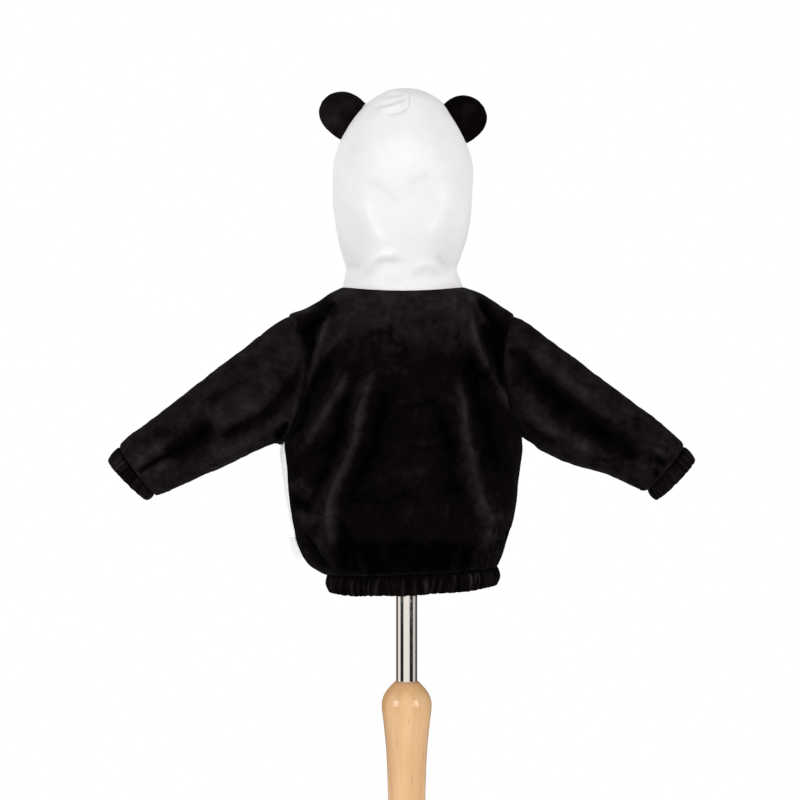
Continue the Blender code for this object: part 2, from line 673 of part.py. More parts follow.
def ear(values, side):
    """Rings of a padded ear from its base on the hood to its tip, then the tip point."""
    base_x, base_z, lean, half_width, height, half_thickness = values
    out = np.array((math.sin(math.radians(lean)), 0.0, math.cos(math.radians(lean))))
    along = np.array((math.cos(math.radians(lean)), 0.0, -math.sin(math.radians(lean)))) * side
    foot = np.array((base_x, EAR_Y, base_z))
    turns = np.linspace(0.0, 2.0 * math.pi, EAR_SEGMENTS + 1)[:-1]
    table = np.array(EAR_OUTLINE)
    rings = []
    for scale in EAR_BASE_RINGS[::-1] + (1.0,):
        rings.append(ear_foot_ring(foot, along, half_width * table[0, 1] * scale,
                                   half_thickness * table[0, 2] * scale, turns))
    for rise, width, thickness in table[1:]:
        centre = foot + out * (rise * height)
        spread = np.cos(turns)[:, None] * along * (half_width * width)
        spread = spread + np.sin(turns)[:, None] * np.array((0.0, 1.0, 0.0)) * (half_thickness * thickness)
        rings.append(centre + spread)
    heel = ear_foot_ring(foot, along, 0.0, 0.0, turns[:1])[0]
    return heel, np.array(rings), foot + out * height


def ear_foot_ring(foot, along, half_width, half_thickness, turns):
    """Ring of the ear's base laid on the hood, one gap off it."""
    rows = []
    for turn in turns:
        aim = foot + along * (half_width * math.cos(turn))
        aim = aim + np.array((0.0, half_thickness * math.sin(turn), 0.0))
        centre_x = float(read(HOOD, HOOD_COLUMNS, "centre", aim[2]))
        flat = on_hood(aim - np.array((centre_x, 0.0, 0.0)))
        middle = np.array((0.0, 0.0, HOOD_MIDDLE))
        away = (flat - middle) / np.linalg.norm(flat - middle)
        rows.append(lean_to_middle(flat + away * EAR_GAP))
    return np.array(rows)



# Walls and solids.

def material(name):
    red, green, blue, roughness, metal = MATERIALS[name]
    made = bpy.data.materials.get(name) or bpy.data.materials.new(name)
    made.use_nodes = True
    shader = made.node_tree.nodes["Principled BSDF"]
    shader.inputs["Base Color"].default_value = (red, green, blue, 1.0)
    shader.inputs["Roughness"].default_value = roughness
    shader.inputs["Metallic"].default_value = metal
    made.diffuse_color = (red, green, blue, 1.0)
    return made


def add_object(name, points, faces, material_name):
    """Make one closed solid from points in millimetres above the hem, faces turned outwards."""
    lifted = (np.asarray(points, float) + np.array((0.0, 0.0, HEM_ABOVE_FLOOR))) * MM
    mesh = bpy.data.meshes.new(name)
    mesh.from_pydata([tuple(point) for point in lifted], [], faces)
    shape = bmesh.new()
    shape.from_mesh(mesh)
    bmesh.ops.recalc_face_normals(shape, faces=shape.faces)
    if shape.calc_volume(signed=True) < 0.0:
        bmesh.ops.reverse_faces(shape, faces=shape.faces)
    shape.to_mesh(mesh)
    shape.free()
    mesh.materials.append(material(material_name))
    made = bpy.data.objects.new(name, mesh)
    bpy.data.collections[COLLECTION_NAME].objects.link(made)
    return made


def seam_directions(pieces):
    """Wall direction at each point, shared where the seams of two pieces meet."""
    shared = {}
    for piece in pieces:
        for point, normal in zip(piece["points"].reshape(-1, 3), piece["normals"].reshape(-1, 3)):
            key = tuple(np.round(point, 1))
            shared[key] = shared.get(key, np.zeros(3)) + normal
    for piece in pieces:
        flat = piece["points"].reshape(-1, 3)
        ways = np.array([shared[tuple(np.round(point, 1))] for point in flat])
        ways /= np.linalg.norm(ways, axis=-1, keepdims=True)
        piece["ways"] = ways.reshape(piece["points"].shape)


def inset_edges(piece):
    """Draw a piece's open edges in by half a gap, in its own surface and square to the seam."""
    points = piece["points"]
    normals = piece["normals"] * piece["turn"]
    moved = points.copy()
    rows, columns = points.shape[:2]
    if piece["closed"]:
        loops = [[(0, j) for j in range(columns)], [(rows - 1, j) for j in reversed(range(columns))]]
    else:
        loop = [(0, j) for j in range(columns)]
        loop += [(i, columns - 1) for i in range(1, rows)]
        loop += [(rows - 1, j) for j in range(columns - 2, -1, -1)]
        loop += [(i, 0) for i in range(rows - 2, 0, -1)]
        loops = [loop]
    for loop in loops:
        count = len(loop)
        for k, spot in enumerate(loop):
            before = points[spot] - points[loop[k - 1]]
            after = points[loop[(k + 1) % count]] - points[spot]
            ins = []
            for way in (before, after):
                inward = np.cross(normals[spot], way)
                ins.append(inward / max(np.linalg.norm(inward), 1e-9))
            share = ins[0] + ins[1]
            share /= max(1.0 + float(np.dot(ins[0], ins[1])), 0.35)
            moved[spot] = points[spot] + share * (0.5 * GAP)
    return moved


def rim_triangles(points, a, b, count):
    """Two triangles of a rim, split the same way on both sides of a seam."""
    if float(np.dot(points[a] - points[b], RIM_ORDER)) < 0.0:
        a, b = b, a
    return [(a, b, b + count), (a, b + count, a + count)]


def wall_solid(piece):
    """Closed wall from a grid: outer face, inner face and rims."""
    outer = inset_edges(piece)
    inner = outer - piece["ways"] * CLOTH_WALL
    rows, columns = outer.shape[:2]
    count = rows * columns
    spans = columns if piece["closed"] else columns - 1
    faces = []
    for i in range(rows - 1):
        for j in range(spans):
            a = i * columns + j
            b = i * columns + (j + 1) % columns
            c = b + columns
            d = a + columns
            faces.append((a, b, c, d))
            faces.append((d + count, c + count, b + count, a + count))
    points = np.concatenate((outer.reshape(-1, 3), inner.reshape(-1, 3)))
    top = (rows - 1) * columns
    rim = [(j, (j + 1) % columns) for j in range(spans)]
    rim += [(top + j, top + (j + 1) % columns) for j in range(spans)]
    if not piece["closed"]:
        rim += [(i * columns, (i + 1) * columns) for i in range(rows - 1)]
        rim += [((i + 1) * columns - 1, (i + 2) * columns - 1) for i in range(rows - 1)]
    for a, b in rim:
        faces += rim_triangles(points, a, b, count)
    return add_object(piece["name"], points, faces, piece["material"])


def lofted_solid(name, first, rings, last, material_name):
    """Closed solid through rings of points, with a point at each end."""
    count = rings.shape[1]
    points = np.concatenate((first[None, :], rings.reshape(-1, 3), last[None, :]))
    faces = []
    for j in range(count):
        k = (j + 1) % count
        faces.append((0, 1 + k, 1 + j))
        tail = 1 + (len(rings) - 1) * count
        faces.append((tail + j, tail + k, len(points) - 1))
        for i in range(len(rings) - 1):
            a = 1 + i * count
            faces.append((a + j, a + k, a + count + k, a + count + j))
    return add_object(name, points, faces, material_name)


def turned_solid(name, profile, top, segments, material_name):
    """Solid turned round the stand's middle from a profile of radius and drop."""
    mesh = bpy.data.meshes.new(name)
    points = [(0.0, 0.0, 0.0)]
    points += [(radius * MM, 0.0, -drop * MM) for radius, drop in profile]
    points.append((0.0, 0.0, -profile[-1][1] * MM))
    edges = [(k, k + 1) for k in range(len(points) - 1)]
    mesh.from_pydata(points, edges, [])
    made = bpy.data.objects.new(name, mesh)
    made.location = (STAND_X * MM, 0.0, (top + HEM_ABOVE_FLOOR) * MM)
    mesh.materials.append(material(material_name))
    bpy.data.collections[COLLECTION_NAME].objects.link(made)
    turn = made.modifiers.new("turn", "SCREW")
    turn.axis = "Z"
    turn.angle = 2.0 * math.pi
    turn.steps = segments
    turn.render_steps = segments
    turn.use_merge_vertices = True
    turn.merge_threshold = 0.00001
    return made


def dress_form():
    """Smooth torso, neck and egg head as one solid with a flat underside."""
    turns = np.linspace(0.0, 2.0 * math.pi, FORM_SEGMENTS + 1)[:-1]
    rings = []
    for height, half_width, back, front in FORM:
        depth = np.where(np.sin(turns) >= 0.0, back, front)
        x = STAND_X + half_width * np.cos(turns)
        rings.append(np.stack((x, depth * np.sin(turns), height + 0.0 * turns), axis=-1))
    first = np.array((STAND_X, 0.0, FORM[0][0]))
    last = np.array((STAND_X, 0.0, FORM_TOP))
    return lofted_solid("dress_form", first, np.array(rings), last, "cream_form")


def side_label(back_panel):
    """Folded ribbon standing out of the left side seam, one gap clear of the panels."""
    heights = np.linspace(LABEL_BOTTOM, LABEL_TOP, 5)
    edge = back_panel[:len(LOWER_ROWS), 0]
    normals = grid_normals(back_panel, False, 1)[:len(LOWER_ROWS), 0]
    rings = []
    for height in heights:
        root = np.array([np.interp(height, edge[:, 2], edge[:, k]) for k in range(2)] + [height])
        way = np.array([np.interp(height, edge[:, 2], normals[:, k]) for k in range(2)] + [0.0])
        way /= np.linalg.norm(way)
        side = np.array((-way[1], way[0], 0.0)) * (0.5 * LABEL_THICKNESS)
        near = root + way * LABEL_ROOT_GAP
        far = root + way * (LABEL_REACH - 0.5 * LABEL_THICKNESS)
        tip = root + way * LABEL_REACH
        rings.append((near - side, far - side, tip, far + side, near + side))
    rings = np.array(rings)
    return lofted_solid("side_label", rings[0].mean(axis=0), rings, rings[-1].mean(axis=0), "white_ribbon")


def cloth_piece(name, points, closed, turn, material_name):
    return {
        "name": name,
        "points": points,
        "closed": closed,
        "turn": turn,
        "normals": grid_normals(points, closed, turn),
        "material": material_name,
    }


def build():
    for old in list(bpy.data.objects):
        bpy.data.objects.remove(old, do_unlink=True)
    group = bpy.data.collections.new(COLLECTION_NAME)
    bpy.context.scene.collection.children.link(group)

    back = body_panel("back")
    front = body_panel("front")
    loop_left = armhole_loop(back, front, "left")
    loop_right = armhole_loop(back, front, "right")
    neck_left = hood_neck_loop(back, front, 1)
    neck_right = hood_neck_loop(back, front, -1)
    pieces = [
        cloth_piece("back_panel", back, False, 1, "black_velour"),
        cloth_piece("front_panel", front, False, 1, "white_velour"),
        cloth_piece("sleeve_left", sleeve(loop_left, 1, SLEEVE_LEFT_FOLDS), True, -1, "black_velour"),
        cloth_piece("sleeve_right", sleeve(loop_right, -1, SLEEVE_RIGHT_FOLDS), True, 1, "black_velour"),
        cloth_piece("cuff_left", cuff(1), True, -1, "black_velour"),
        cloth_piece("cuff_right", cuff(-1), True, 1, "black_velour"),
        cloth_piece("hem_band", hem_band(), True, 1, "black_velour"),
        cloth_piece("hood_left", hood_half(neck_left, 1), False, -1, "white_velour"),
        cloth_piece("hood_right", hood_half(neck_right, -1), False, 1, "white_velour"),
    ]
    seam_directions(pieces)
    for piece in pieces:
        wall_solid(piece)

    for name, values, side in (("ear_left", EAR_LEFT, 1), ("ear_right", EAR_RIGHT, -1)):
        heel, rings, tip = ear(values, side)
        lofted_solid(name, heel, rings, tip, "black_velour")
    side_label(back)

    dress_form()
    pole_top = FORM[0][0] - GAP
    pole_bottom = COLUMN_TOP + GAP
    bpy.ops.mesh.primitive_cylinder_add(
        vertices=POLE_SEGMENTS,
        radius=POLE_RADIUS * MM,
        depth=(pole_top - pole_bottom) * MM,
        location=(STAND_X * MM, 0.0, (0.5 * (pole_top + pole_bottom) + HEM_ABOVE_FLOOR) * MM),
    )
    pole = bpy.context.object
    pole.name = "stand_pole"
    pole.data.name = "stand_pole"
    pole.data.materials.append(material("chrome"))
    for holder in list(pole.users_collection):
        holder.objects.unlink(pole)
    group.objects.link(pole)

    column_bottom = BASE_HEIGHT + GAP - HEM_ABOVE_FLOOR
    foot_drop = COLUMN_TOP - column_bottom
    profile = COLUMN_PROFILE + ((COLUMN_PROFILE[-1][0], foot_drop),)
    turned_solid("stand_column", profile, COLUMN_TOP, COLUMN_SEGMENTS, "light_beech")
    turned_solid("stand_base", BASE_PROFILE, BASE_HEIGHT - HEM_ABOVE_FLOOR, BASE_SEGMENTS, "light_beech")


build()
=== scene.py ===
# %% [markdown]
# # A child's costume hoodie, shown from behind on a dress form
# The real object is a small plush velour jacket: a white hood with two round padded ears, a black back, black
# sleeves, elasticated cuffs and hem, and a white front. It is pulled over a smooth limbless dress form on a
# chrome pole and a turned beech stand. The plain solids of the part are loaded first. They fix where everything
# is, and every visible piece below is made again on the same sections, with its folds, gathers, seams and pile.

# %% Load the plain solids and keep their box
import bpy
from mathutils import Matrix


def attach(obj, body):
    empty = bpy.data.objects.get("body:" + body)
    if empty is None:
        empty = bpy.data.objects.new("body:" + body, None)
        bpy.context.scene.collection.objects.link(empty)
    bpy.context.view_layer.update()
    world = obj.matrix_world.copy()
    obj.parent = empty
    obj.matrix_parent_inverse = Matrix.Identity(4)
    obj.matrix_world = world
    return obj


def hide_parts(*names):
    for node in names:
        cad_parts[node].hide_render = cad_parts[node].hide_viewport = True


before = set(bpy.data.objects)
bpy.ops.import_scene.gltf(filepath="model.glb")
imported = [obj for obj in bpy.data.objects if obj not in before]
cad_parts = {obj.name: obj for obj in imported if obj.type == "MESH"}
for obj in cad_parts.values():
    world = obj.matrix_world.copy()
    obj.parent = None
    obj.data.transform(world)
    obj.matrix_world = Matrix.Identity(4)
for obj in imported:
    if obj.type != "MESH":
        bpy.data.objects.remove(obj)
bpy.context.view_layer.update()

# %% [markdown]
# Cloth is easiest to shape as a grid of points. Each point sits on a smooth section of the body, and a relief is
# added to it along the surface's own outward direction. NumPy does that for a whole grid at once. All sizes are
# in millimetres above the hem until the mesh is made, so that they read like a maker's measurements.

# %% Sizes that the whole garment shares
import math

import bpy
import numpy as np

MM = 0.001
TURN = 2.0 * math.pi
HEM_ABOVE_FLOOR = 454.0
CLOTH_THICKNESS = 1.8
ROUNDNESS = 2.2  # power of the oval sections: 2 is an ellipse, more is squarer
GAP = 0.3  # left between rigid pieces that touch
BAND_BOTTOM, BAND_TOP = 9.0, 32.0
UNDERARM, TIP, NECK = 191.0, 337.0, 371.0  # heights of the armpit, the shoulder tip and the neckline
NECK_DIP_BACK, NECK_DIP_FRONT = 7.0, 20.0
HEM_TILT, HEM_TILT_REACH = 0.044, 80.0
LEFT_ARMPIT_SAG = 4.5
ARMHOLE_BACK, ARMHOLE_FRONT, TIP_SEAM_Y = 52.0, -50.0, -5.0
FORM_X, STAND_X = -5.0, -6.2
print("neckline above the floor:", HEM_ABOVE_FLOOR + NECK, "mm")

# %% Sizes of seams, gathers and painted light
SEAM_DEPTH, SEAM_REACH = 1.3, 3.2  # how far the face rolls under at a seam, and over what width
SEAM_ALLOWANCE = 3.0
FACE_HEM = 10.0
EDGE_REST = 3.0  # relief dies out this close to an edge, so that neighbours meet
PLEAT_LEVEL = 0.62  # height of a gather that neither rises nor sinks
GATHER_HEIGHT = 2.0
PAINTED_LIGHT_RELIEF = 4.5  # relief at which painted light on crests and painted shade in hollows are nearly at their strongest
# The inner faces all get one low level, so they take the painted shade end of the tones.
LINING_PAINTED_LIGHT = 0.2

# %% [markdown]
# A paper pattern is drawn as a few measured points joined by a fair curve. The same is done here: each table
# gives a few heights, and a curve that never overshoots its points reads the sizes in between.

# %% Fair curves through measured tables
def steady_curve(knots, values, at):
    """Smooth curve through a table's values that never overshoots them."""
    knots = np.asarray(knots, float)
    values = np.asarray(values, float)
    step = np.diff(knots)
    slope = np.diff(values) / step
    tangent = np.zeros(len(knots))
    tangent[0] = slope[0]
    tangent[-1] = slope[-1]
    for k in range(1, len(knots) - 1):
        if slope[k - 1] * slope[k] > 0.0:
            before = 2.0 * step[k] + step[k - 1]
            after = step[k] + 2.0 * step[k - 1]
            tangent[k] = (before + after) / (before / slope[k - 1] + after / slope[k])
    at = np.clip(np.asarray(at, float), knots[0], knots[-1])
    k = np.clip(np.searchsorted(knots, at) - 1, 0, len(step) - 1)
    t = (at - knots[k]) / step[k]
    left = values[k] * (1 + 2 * t) * (1 - t) ** 2 + tangent[k] * step[k] * t * (1 - t) ** 2
    right = values[k + 1] * t * t * (3 - 2 * t) + tangent[k + 1] * step[k] * t * t * (t - 1)
    return left + right


def table(names, *rows):
    """A table of sizes; each row starts with the height or other place that it holds for."""
    return names.split(), np.array(rows, float)


def read(sizes, name, at):
    """One column of a table, read at values of the table's first column."""
    names, rows = sizes
    return steady_curve(rows[:, 0], rows[:, names.index(name)], at)


def ease(value):
    """Smooth step from 0 to 1."""
    value = np.clip(value, 0.0, 1.0)
    return value * value * (3.0 - 2.0 * value)


def signed_power(value, power):
    return np.sign(value) * np.abs(value) ** power


def bell(value):
    """1 at 0, falling off softly to both sides."""
    return np.exp(-(value**2))


def unit(vectors):
    return vectors / np.linalg.norm(vectors, axis=-1, keepdims=True)


def circle(count):
    """Equal turns round a full circle."""
    return np.linspace(0.0, TURN, count + 1)[:-1]


def distances(points):
    """How far along a line each of its points lies."""
    return np.concatenate(([0.0], np.cumsum(np.linalg.norm(np.diff(points, axis=0), axis=1))))


def fair_line(points, steps=8):
    """A flowing line through a few points, as a tailor's chalk line runs through pins."""
    points = np.asarray(points, float)
    place = distances(points)
    at = np.linspace(0.0, place[-1], steps * (len(points) - 1) + 1)
    return np.stack([steady_curve(place, points[:, k], at) for k in range(points.shape[1])], axis=-1)

# %% [markdown]
# Three things shape velour: broad folds that hang from the shoulders and armpits, gathers where elastic pulls
# the cloth in, and a faint unevenness everywhere. A fold is drawn as a line with a tent-like profile, because
# cloth under tension runs straight down to both sides of a crest. It is made one by one and not by a
# simulation, so that each crest can be put where the real one hangs.

# %% Folds, gathers and unevenness
def fold(across, up, height, width, lean, line, sharp=0.4):
    """Relief of one fold: a ridge (height above 0) or a trough along a line, wider on its +across side by lean."""
    path = fair_line(line)
    steps = np.linalg.norm(np.diff(path, axis=0), axis=1)
    reach = distances(path)
    best = np.full(across.shape, 1e6)
    place = np.zeros(across.shape)
    side = np.zeros(across.shape)
    for k, step in enumerate(steps):
        way = (path[k + 1] - path[k]) / step
        off_x = across - path[k, 0]
        off_z = up - path[k, 1]
        t = np.clip(off_x * way[0] + off_z * way[1], 0.0, step)
        away = np.hypot(off_x - way[0] * t, off_z - way[1] * t)
        nearer = away < best
        best = np.where(nearer, away, best)
        place = np.where(nearer, reach[k] + t, place)
        side = np.where(nearer, way[0] * off_z - way[1] * off_x, side)
    share = place / reach[-1]
    taper = ease(share / 0.28 + 0.06) * ease((1.0 - share) / 0.28 + 0.06)
    spread = best / (width * (1.0 + lean * np.tanh(side / width)) * (0.8 + 0.4 * share))
    return height * taper * np.exp(-1.5 * (np.sqrt(spread**2 + sharp**2) - sharp))


def all_folds(rows, across, up):
    total = np.zeros(across.shape)
    for height, width, lean, line in rows:
        total += fold(across, up, height, width, lean, line)
    return total

# %% Gathers, clouds and small creases
def pleats(turns, rise, seed, count, drift=0.25, least=0.45):
    """Uneven gathers round an elasticated edge: rounded ridges up to 1 with sharp troughs at 0 between them."""
    random = np.random.default_rng(seed)
    step = TURN / count
    total = np.zeros(np.broadcast(turns, rise).shape)
    for k in range(count):
        middle = (k + random.uniform(-0.3, 0.3) + random.uniform(-drift, drift) * rise) * step
        half = step * random.uniform(0.5, 0.8)
        away = (turns - middle + math.pi) % TURN - math.pi
        total = np.maximum(total, random.uniform(least, 1.0) * (1.0 - (away / half) ** 2))
    return total


def unevenness(points, size, seed, waves=14):
    """Faint cloudy waves through space, about size millimetres from crest to crest."""
    random = np.random.default_rng(seed)
    total = np.zeros(points.shape[:-1])
    for _ in range(waves):
        way = random.normal(size=3)
        way *= TURN / (size * random.uniform(0.7, 1.5)) / np.linalg.norm(way)
        total += np.sin(points @ way + random.uniform(0.0, TURN))
    return total / math.sqrt(waves)


def small_creases(points, size, seed):
    """Thin soft creases: the lines where a cloudy field crosses nothing."""
    bends = [unevenness(points, 1.6 * size, seed + k, 6) for k in (1, 2, 3)]
    bent = points + 0.35 * size * np.stack(bends, axis=-1)
    return bell(unevenness(bent, size, seed) / 0.22)


def fading(wave, away, near, share, far):
    """Gathers that are strong at the elastic and run out into the cloth."""
    return wave * np.exp(-away / near) + share * wave * np.exp(-away / far)

# %% [markdown]
# A cut piece of cloth has a thickness. Its outer face is the grid, its inner face is the same grid moved in, and
# a rim closes the two. Where two pieces are sewn together the outer face rolls under, which leaves the fine
# dark line that shows where a seam runs.

# %% From a grid to a piece of cloth with a thickness
def grid_normals(points, closed, turn):
    """Unit normals of a grid of points; turn is 1 or -1 so that they face outwards."""
    if closed:
        along = np.roll(points, -1, axis=1) - np.roll(points, 1, axis=1)
    else:
        along = np.gradient(points, axis=1)
    normal = turn * np.cross(along, np.gradient(points, axis=0))
    normal /= np.maximum(np.linalg.norm(normal, axis=-1, keepdims=True), 1e-9)
    if not closed:
        for i, near_i in ((0, 1), (-1, -2)):
            for j, near_j in ((0, 1), (-1, -2)):
                corner = normal[near_i, j] + normal[i, near_j] + normal[near_i, near_j]
                normal[i, j] = corner / np.linalg.norm(corner)
    return normal


def edge_distances(points, closed):
    """Distance over the cloth from each grid point to its first and last row, and first and last column."""
    down = np.linalg.norm(np.diff(points, axis=0), axis=-1)
    rows = np.concatenate((np.zeros((1, points.shape[1])), np.cumsum(down, axis=0)))
    sides = {"first_row": rows, "last_row": rows[-1] - rows}
    if not closed:
        over = np.linalg.norm(np.diff(points, axis=1), axis=-1)
        columns = np.concatenate((np.zeros((points.shape[0], 1)), np.cumsum(over, axis=1)), axis=1)
        sides["first_column"] = columns
        sides["last_column"] = columns[:, -1:] - columns
    return sides


def edge_roll(points, closed, depth=SEAM_DEPTH, reach=SEAM_REACH):
    """How far the outer face rolls under near the piece's edges."""
    roll = np.zeros(points.shape[:-1])
    for away in edge_distances(points, closed).values():
        near = np.clip(1.0 - away / reach, 0.0, 1.0)
        roll = np.maximum(roll, depth * (1.0 - np.sqrt(1.0 - near**2)))
    return roll


def spread_out(count, close=(0.0, 0.0016, 0.0036, 0.0064, 0.0102)):
    """Shares from 0 to 1, closer together at both ends, where the cloth rolls into a seam."""
    ends = np.array(close)
    middle = np.linspace(ends[-1], 1.0 - ends[-1], count - 2 * (len(close) - 1) + 1)
    return np.concatenate((ends[:-1], middle, 1.0 - ends[:-1][::-1]))

# %% From points and faces to an object
def place_object(name, data):
    """Put a mesh, light or camera into the scene."""
    made = bpy.data.objects.new(name, data)
    bpy.context.scene.collection.objects.link(made)
    return made


def lifted(points):
    """Millimetres above the hem made metres above the floor."""
    return (np.asarray(points, float) + (0.0, 0.0, HEM_ABOVE_FLOOR)) * MM


def new_piece(name, points, faces, material):
    """Make a smooth mesh object at the origin from points and arrays of faces, turned outwards."""
    points = lifted(points)
    corners = np.concatenate([np.stack((points[f[:, 0]], points[f[:, k]], points[f[:, k + 1]]), axis=1)
                              for f in faces for k in range(1, f.shape[1] - 1)])
    volume = np.einsum("ij,ij->i", corners[:, 0], np.cross(corners[:, 1], corners[:, 2])).sum()
    turned = [f[:, ::-1] if volume < 0.0 else f for f in faces]
    mesh = bpy.data.meshes.new(name)
    mesh.from_pydata(points, [], [row for f in turned for row in f.tolist()])
    mesh.polygons.foreach_set("use_smooth", [True] * len(mesh.polygons))
    mesh.materials.append(material)
    print(f"{name}: {len(mesh.polygons)} faces")
    return place_object(name, mesh)


def grid_faces(rows, columns, closed):
    """Quads of a grid, and its rims as pairs of points that run against the quads."""
    spans = columns if closed else columns - 1
    i, j = np.meshgrid(np.arange(rows - 1), np.arange(spans), indexing="ij")
    a = (i * columns + j).ravel()
    b = (i * columns + (j + 1) % columns).ravel()
    quads = np.stack((a, b, b + columns, a + columns), axis=1)
    k = np.arange(spans)
    last = (rows - 1) * columns
    rims = [np.stack(((k + 1) % columns, k), axis=1), np.stack((last + k, last + (k + 1) % columns), axis=1)]
    if not closed:
        k = np.arange(rows - 1) * columns
        rims += [np.stack((k, k + columns), axis=1), np.stack((k + 2 * columns - 1, k + columns - 1), axis=1)]
    return quads, np.concatenate(rims)


def stacked_rings(name, rings, first, last, material):
    """Closed solid through rings of points, with a point at each end; also gives all its points."""
    count = rings.shape[1]
    points = np.concatenate((first[None], rings.reshape(-1, 3), last[None]))
    quads, _ = grid_faces(len(rings), count, True)
    k = np.arange(count)
    after = (k + 1) % count
    tail = 1 + (len(rings) - 1) * count
    fans = [np.stack((0 * k, 1 + after, 1 + k), axis=1),
            np.stack((0 * k + len(points) - 1, tail + k, tail + after), axis=1)]
    return new_piece(name, points, [quads + 1] + fans, material), points

# %% [markdown]
# Neighbouring pieces are sewn edge to edge. Each piece first notes which way its edges face, so that both sides
# of a seam can face the same way there and no hard line or gap shows. The cut edges themselves are marked sharp,
# because otherwise the light on the face of the cloth is smeared over its rim.

# %% Seams
seam_ways = {}


def note_seams(points, closed, turn):
    """Remember the outward directions along a piece's edges, so that neighbours can share them."""
    normals = grid_normals(points, closed, turn)
    edges = [(points[0], normals[0]), (points[-1], normals[-1])]
    if not closed:
        edges += [(points[1:-1, k], normals[1:-1, k]) for k in (0, -1)]
    for spots, ways in edges:
        for spot, way in zip(np.round(spots, 1), ways):
            key = tuple(spot)
            seam_ways[key] = seam_ways.get(key, np.zeros(3)) + way


def sewn_normals(points, closed, turn, reach=6.0):
    """Outward directions that turn towards the seam's own shared direction near each edge."""
    normals = grid_normals(points, closed, turn)
    away = edge_distances(points, closed)
    turned = normals.copy()
    sides = [("first_row", points[0], normals[0], 0), ("last_row", points[-1], normals[-1], 0)]
    if not closed:
        sides += [(side, points[:, k], normals[:, k], 1) for side, k in (("first_column", 0), ("last_column", -1))]
    for side, spots, ways, axis in sides:
        shared = unit(np.array([seam_ways.get(tuple(spot), way) for spot, way in zip(np.round(spots, 1), ways)]))
        near = (1.0 - ease(away[side] / reach))[..., None]
        turned += np.expand_dims(shared - ways, axis) * near
    return unit(turned)

# %% A cut piece of cloth
def sharpen_rims(mesh, rims):
    """Mark a piece's cut edges as sharp; rims are pairs of points."""
    ends = np.empty(2 * len(mesh.edges), int)
    mesh.edges.foreach_get("vertices", ends)
    ends, rims = np.sort(ends.reshape(-1, 2), axis=1), np.sort(rims, axis=1)
    total = len(mesh.vertices)
    sharp = np.isin(ends[:, 0] * total + ends[:, 1], rims[:, 0] * total + rims[:, 1])
    mesh.attributes.new("sharp_edge", "BOOLEAN", "EDGE").data.foreach_set("value", sharp)


def add_painted_light(piece, values):
    """Keep on each point its painted light and mottle: 0 is painted shade in a hollow, 1 a painted highlight on a
    crest.
    """
    layer = piece.data.attributes.new("painted_light_and_mottle", "FLOAT", "POINT")
    layer.data.foreach_set("value", np.clip(values, 0.0, 1.0).astype(np.float32))


def cloth(name, points, closed, turn, material, thickness=CLOTH_THICKNESS, depth=SEAM_DEPTH, reach=SEAM_REACH,
          painted_light_and_mottle=0.3):
    """A cut piece with its thickness; its face rolls under at the edges, and painted_light_and_mottle is the painted
    light and random mottle on its face.
    """
    normals = sewn_normals(points, closed, turn)
    outer = points - normals * edge_roll(points, closed, depth, reach)[..., None]
    inner = points - normals * thickness
    rows, columns = points.shape[:2]
    quads, rims = grid_faces(rows, columns, closed)
    count = rows * columns
    rim_quads = np.concatenate((rims, rims[:, ::-1] + count), axis=1)
    both = np.concatenate((outer.reshape(-1, 3), inner.reshape(-1, 3)))
    piece = new_piece(name, both, [quads, quads[:, ::-1] + count, rim_quads], material)
    piece.data.polygons.foreach_set("use_smooth", np.arange(len(piece.data.polygons)) < 2 * len(quads))
    sharpen_rims(piece.data, np.concatenate((rims, rims + count)))
    face_painted_light_and_mottle = np.broadcast_to(painted_light_and_mottle, (rows, columns)).ravel()
    add_painted_light(piece, np.concatenate((face_painted_light_and_mottle, np.full(count, LINING_PAINTED_LIGHT))))
    down = np.linalg.norm(np.diff(points, axis=0), axis=-1).sum(axis=0)
    loop = np.concatenate((points, points[:, :1]), axis=1) if closed else points
    over = np.linalg.norm(np.diff(loop, axis=1), axis=-1).sum(axis=1)
    c = points.reshape(-1, 3)[quads]
    area = 0.5 * np.linalg.norm(np.cross(c[:, 2] - c[:, 0], c[:, 3] - c[:, 1]), axis=1).sum()
    print(f"  up to {over.max():.0f} x {down.max():.0f} mm, {area * 1e-6:.4f} square metres")
    return piece

# %% [markdown]
# Black velour is hard to light. Each short fibre takes in nearly all light that falls along it and gives a soft
# grey glow where the pile is seen from the side, so the crests look lighter than the flat parts. Each point of
# the cloth therefore carries a number of painted light, which picks a tone from painted shade in hollows to
# painted light on crests, with a faint random mottle. A Principled shader with a rough sheen shows it, noise of
# several sizes tilts the pile, and a little of the same noise shifts the tone where a hand has brushed it.

# %% Helpers for small node graphs
def fill(tree, made, inputs):
    """Give a node's inputs their values, or the sockets that feed them."""
    for name, value in inputs.items():
        if isinstance(value, bpy.types.NodeSocket):
            tree.links.new(value, made.inputs[name])
        else:
            made.inputs[name].default_value = value


def add(tree, kind, inputs, output=0, **options):
    """Add a node, fill its inputs, set its own options and give one of its outputs."""
    made = tree.nodes.new(kind)
    for option, value in options.items():
        setattr(made, option, value)
    fill(tree, made, inputs)
    return made.outputs[output]


def new_finish(name):
    """An empty material with its Principled shader and the Object coordinates that all patterns use."""
    finish = bpy.data.materials.new(name)
    finish.use_nodes = True
    tree = finish.node_tree
    return finish, tree, tree.nodes["Principled BSDF"], add(tree, "ShaderNodeTexCoord", {}, "Object")


def noise(tree, where, scale, detail=2.0, roughness=0.5, stretch=None):
    """Cloudy noise over Object coordinates, stretched where stretch is given."""
    if stretch:
        where = add(tree, "ShaderNodeMapping", {"Vector": where, "Scale": stretch})
    return add(tree, "ShaderNodeTexNoise",
               {"Vector": where, "Scale": scale, "Detail": detail, "Roughness": roughness}, "Fac")


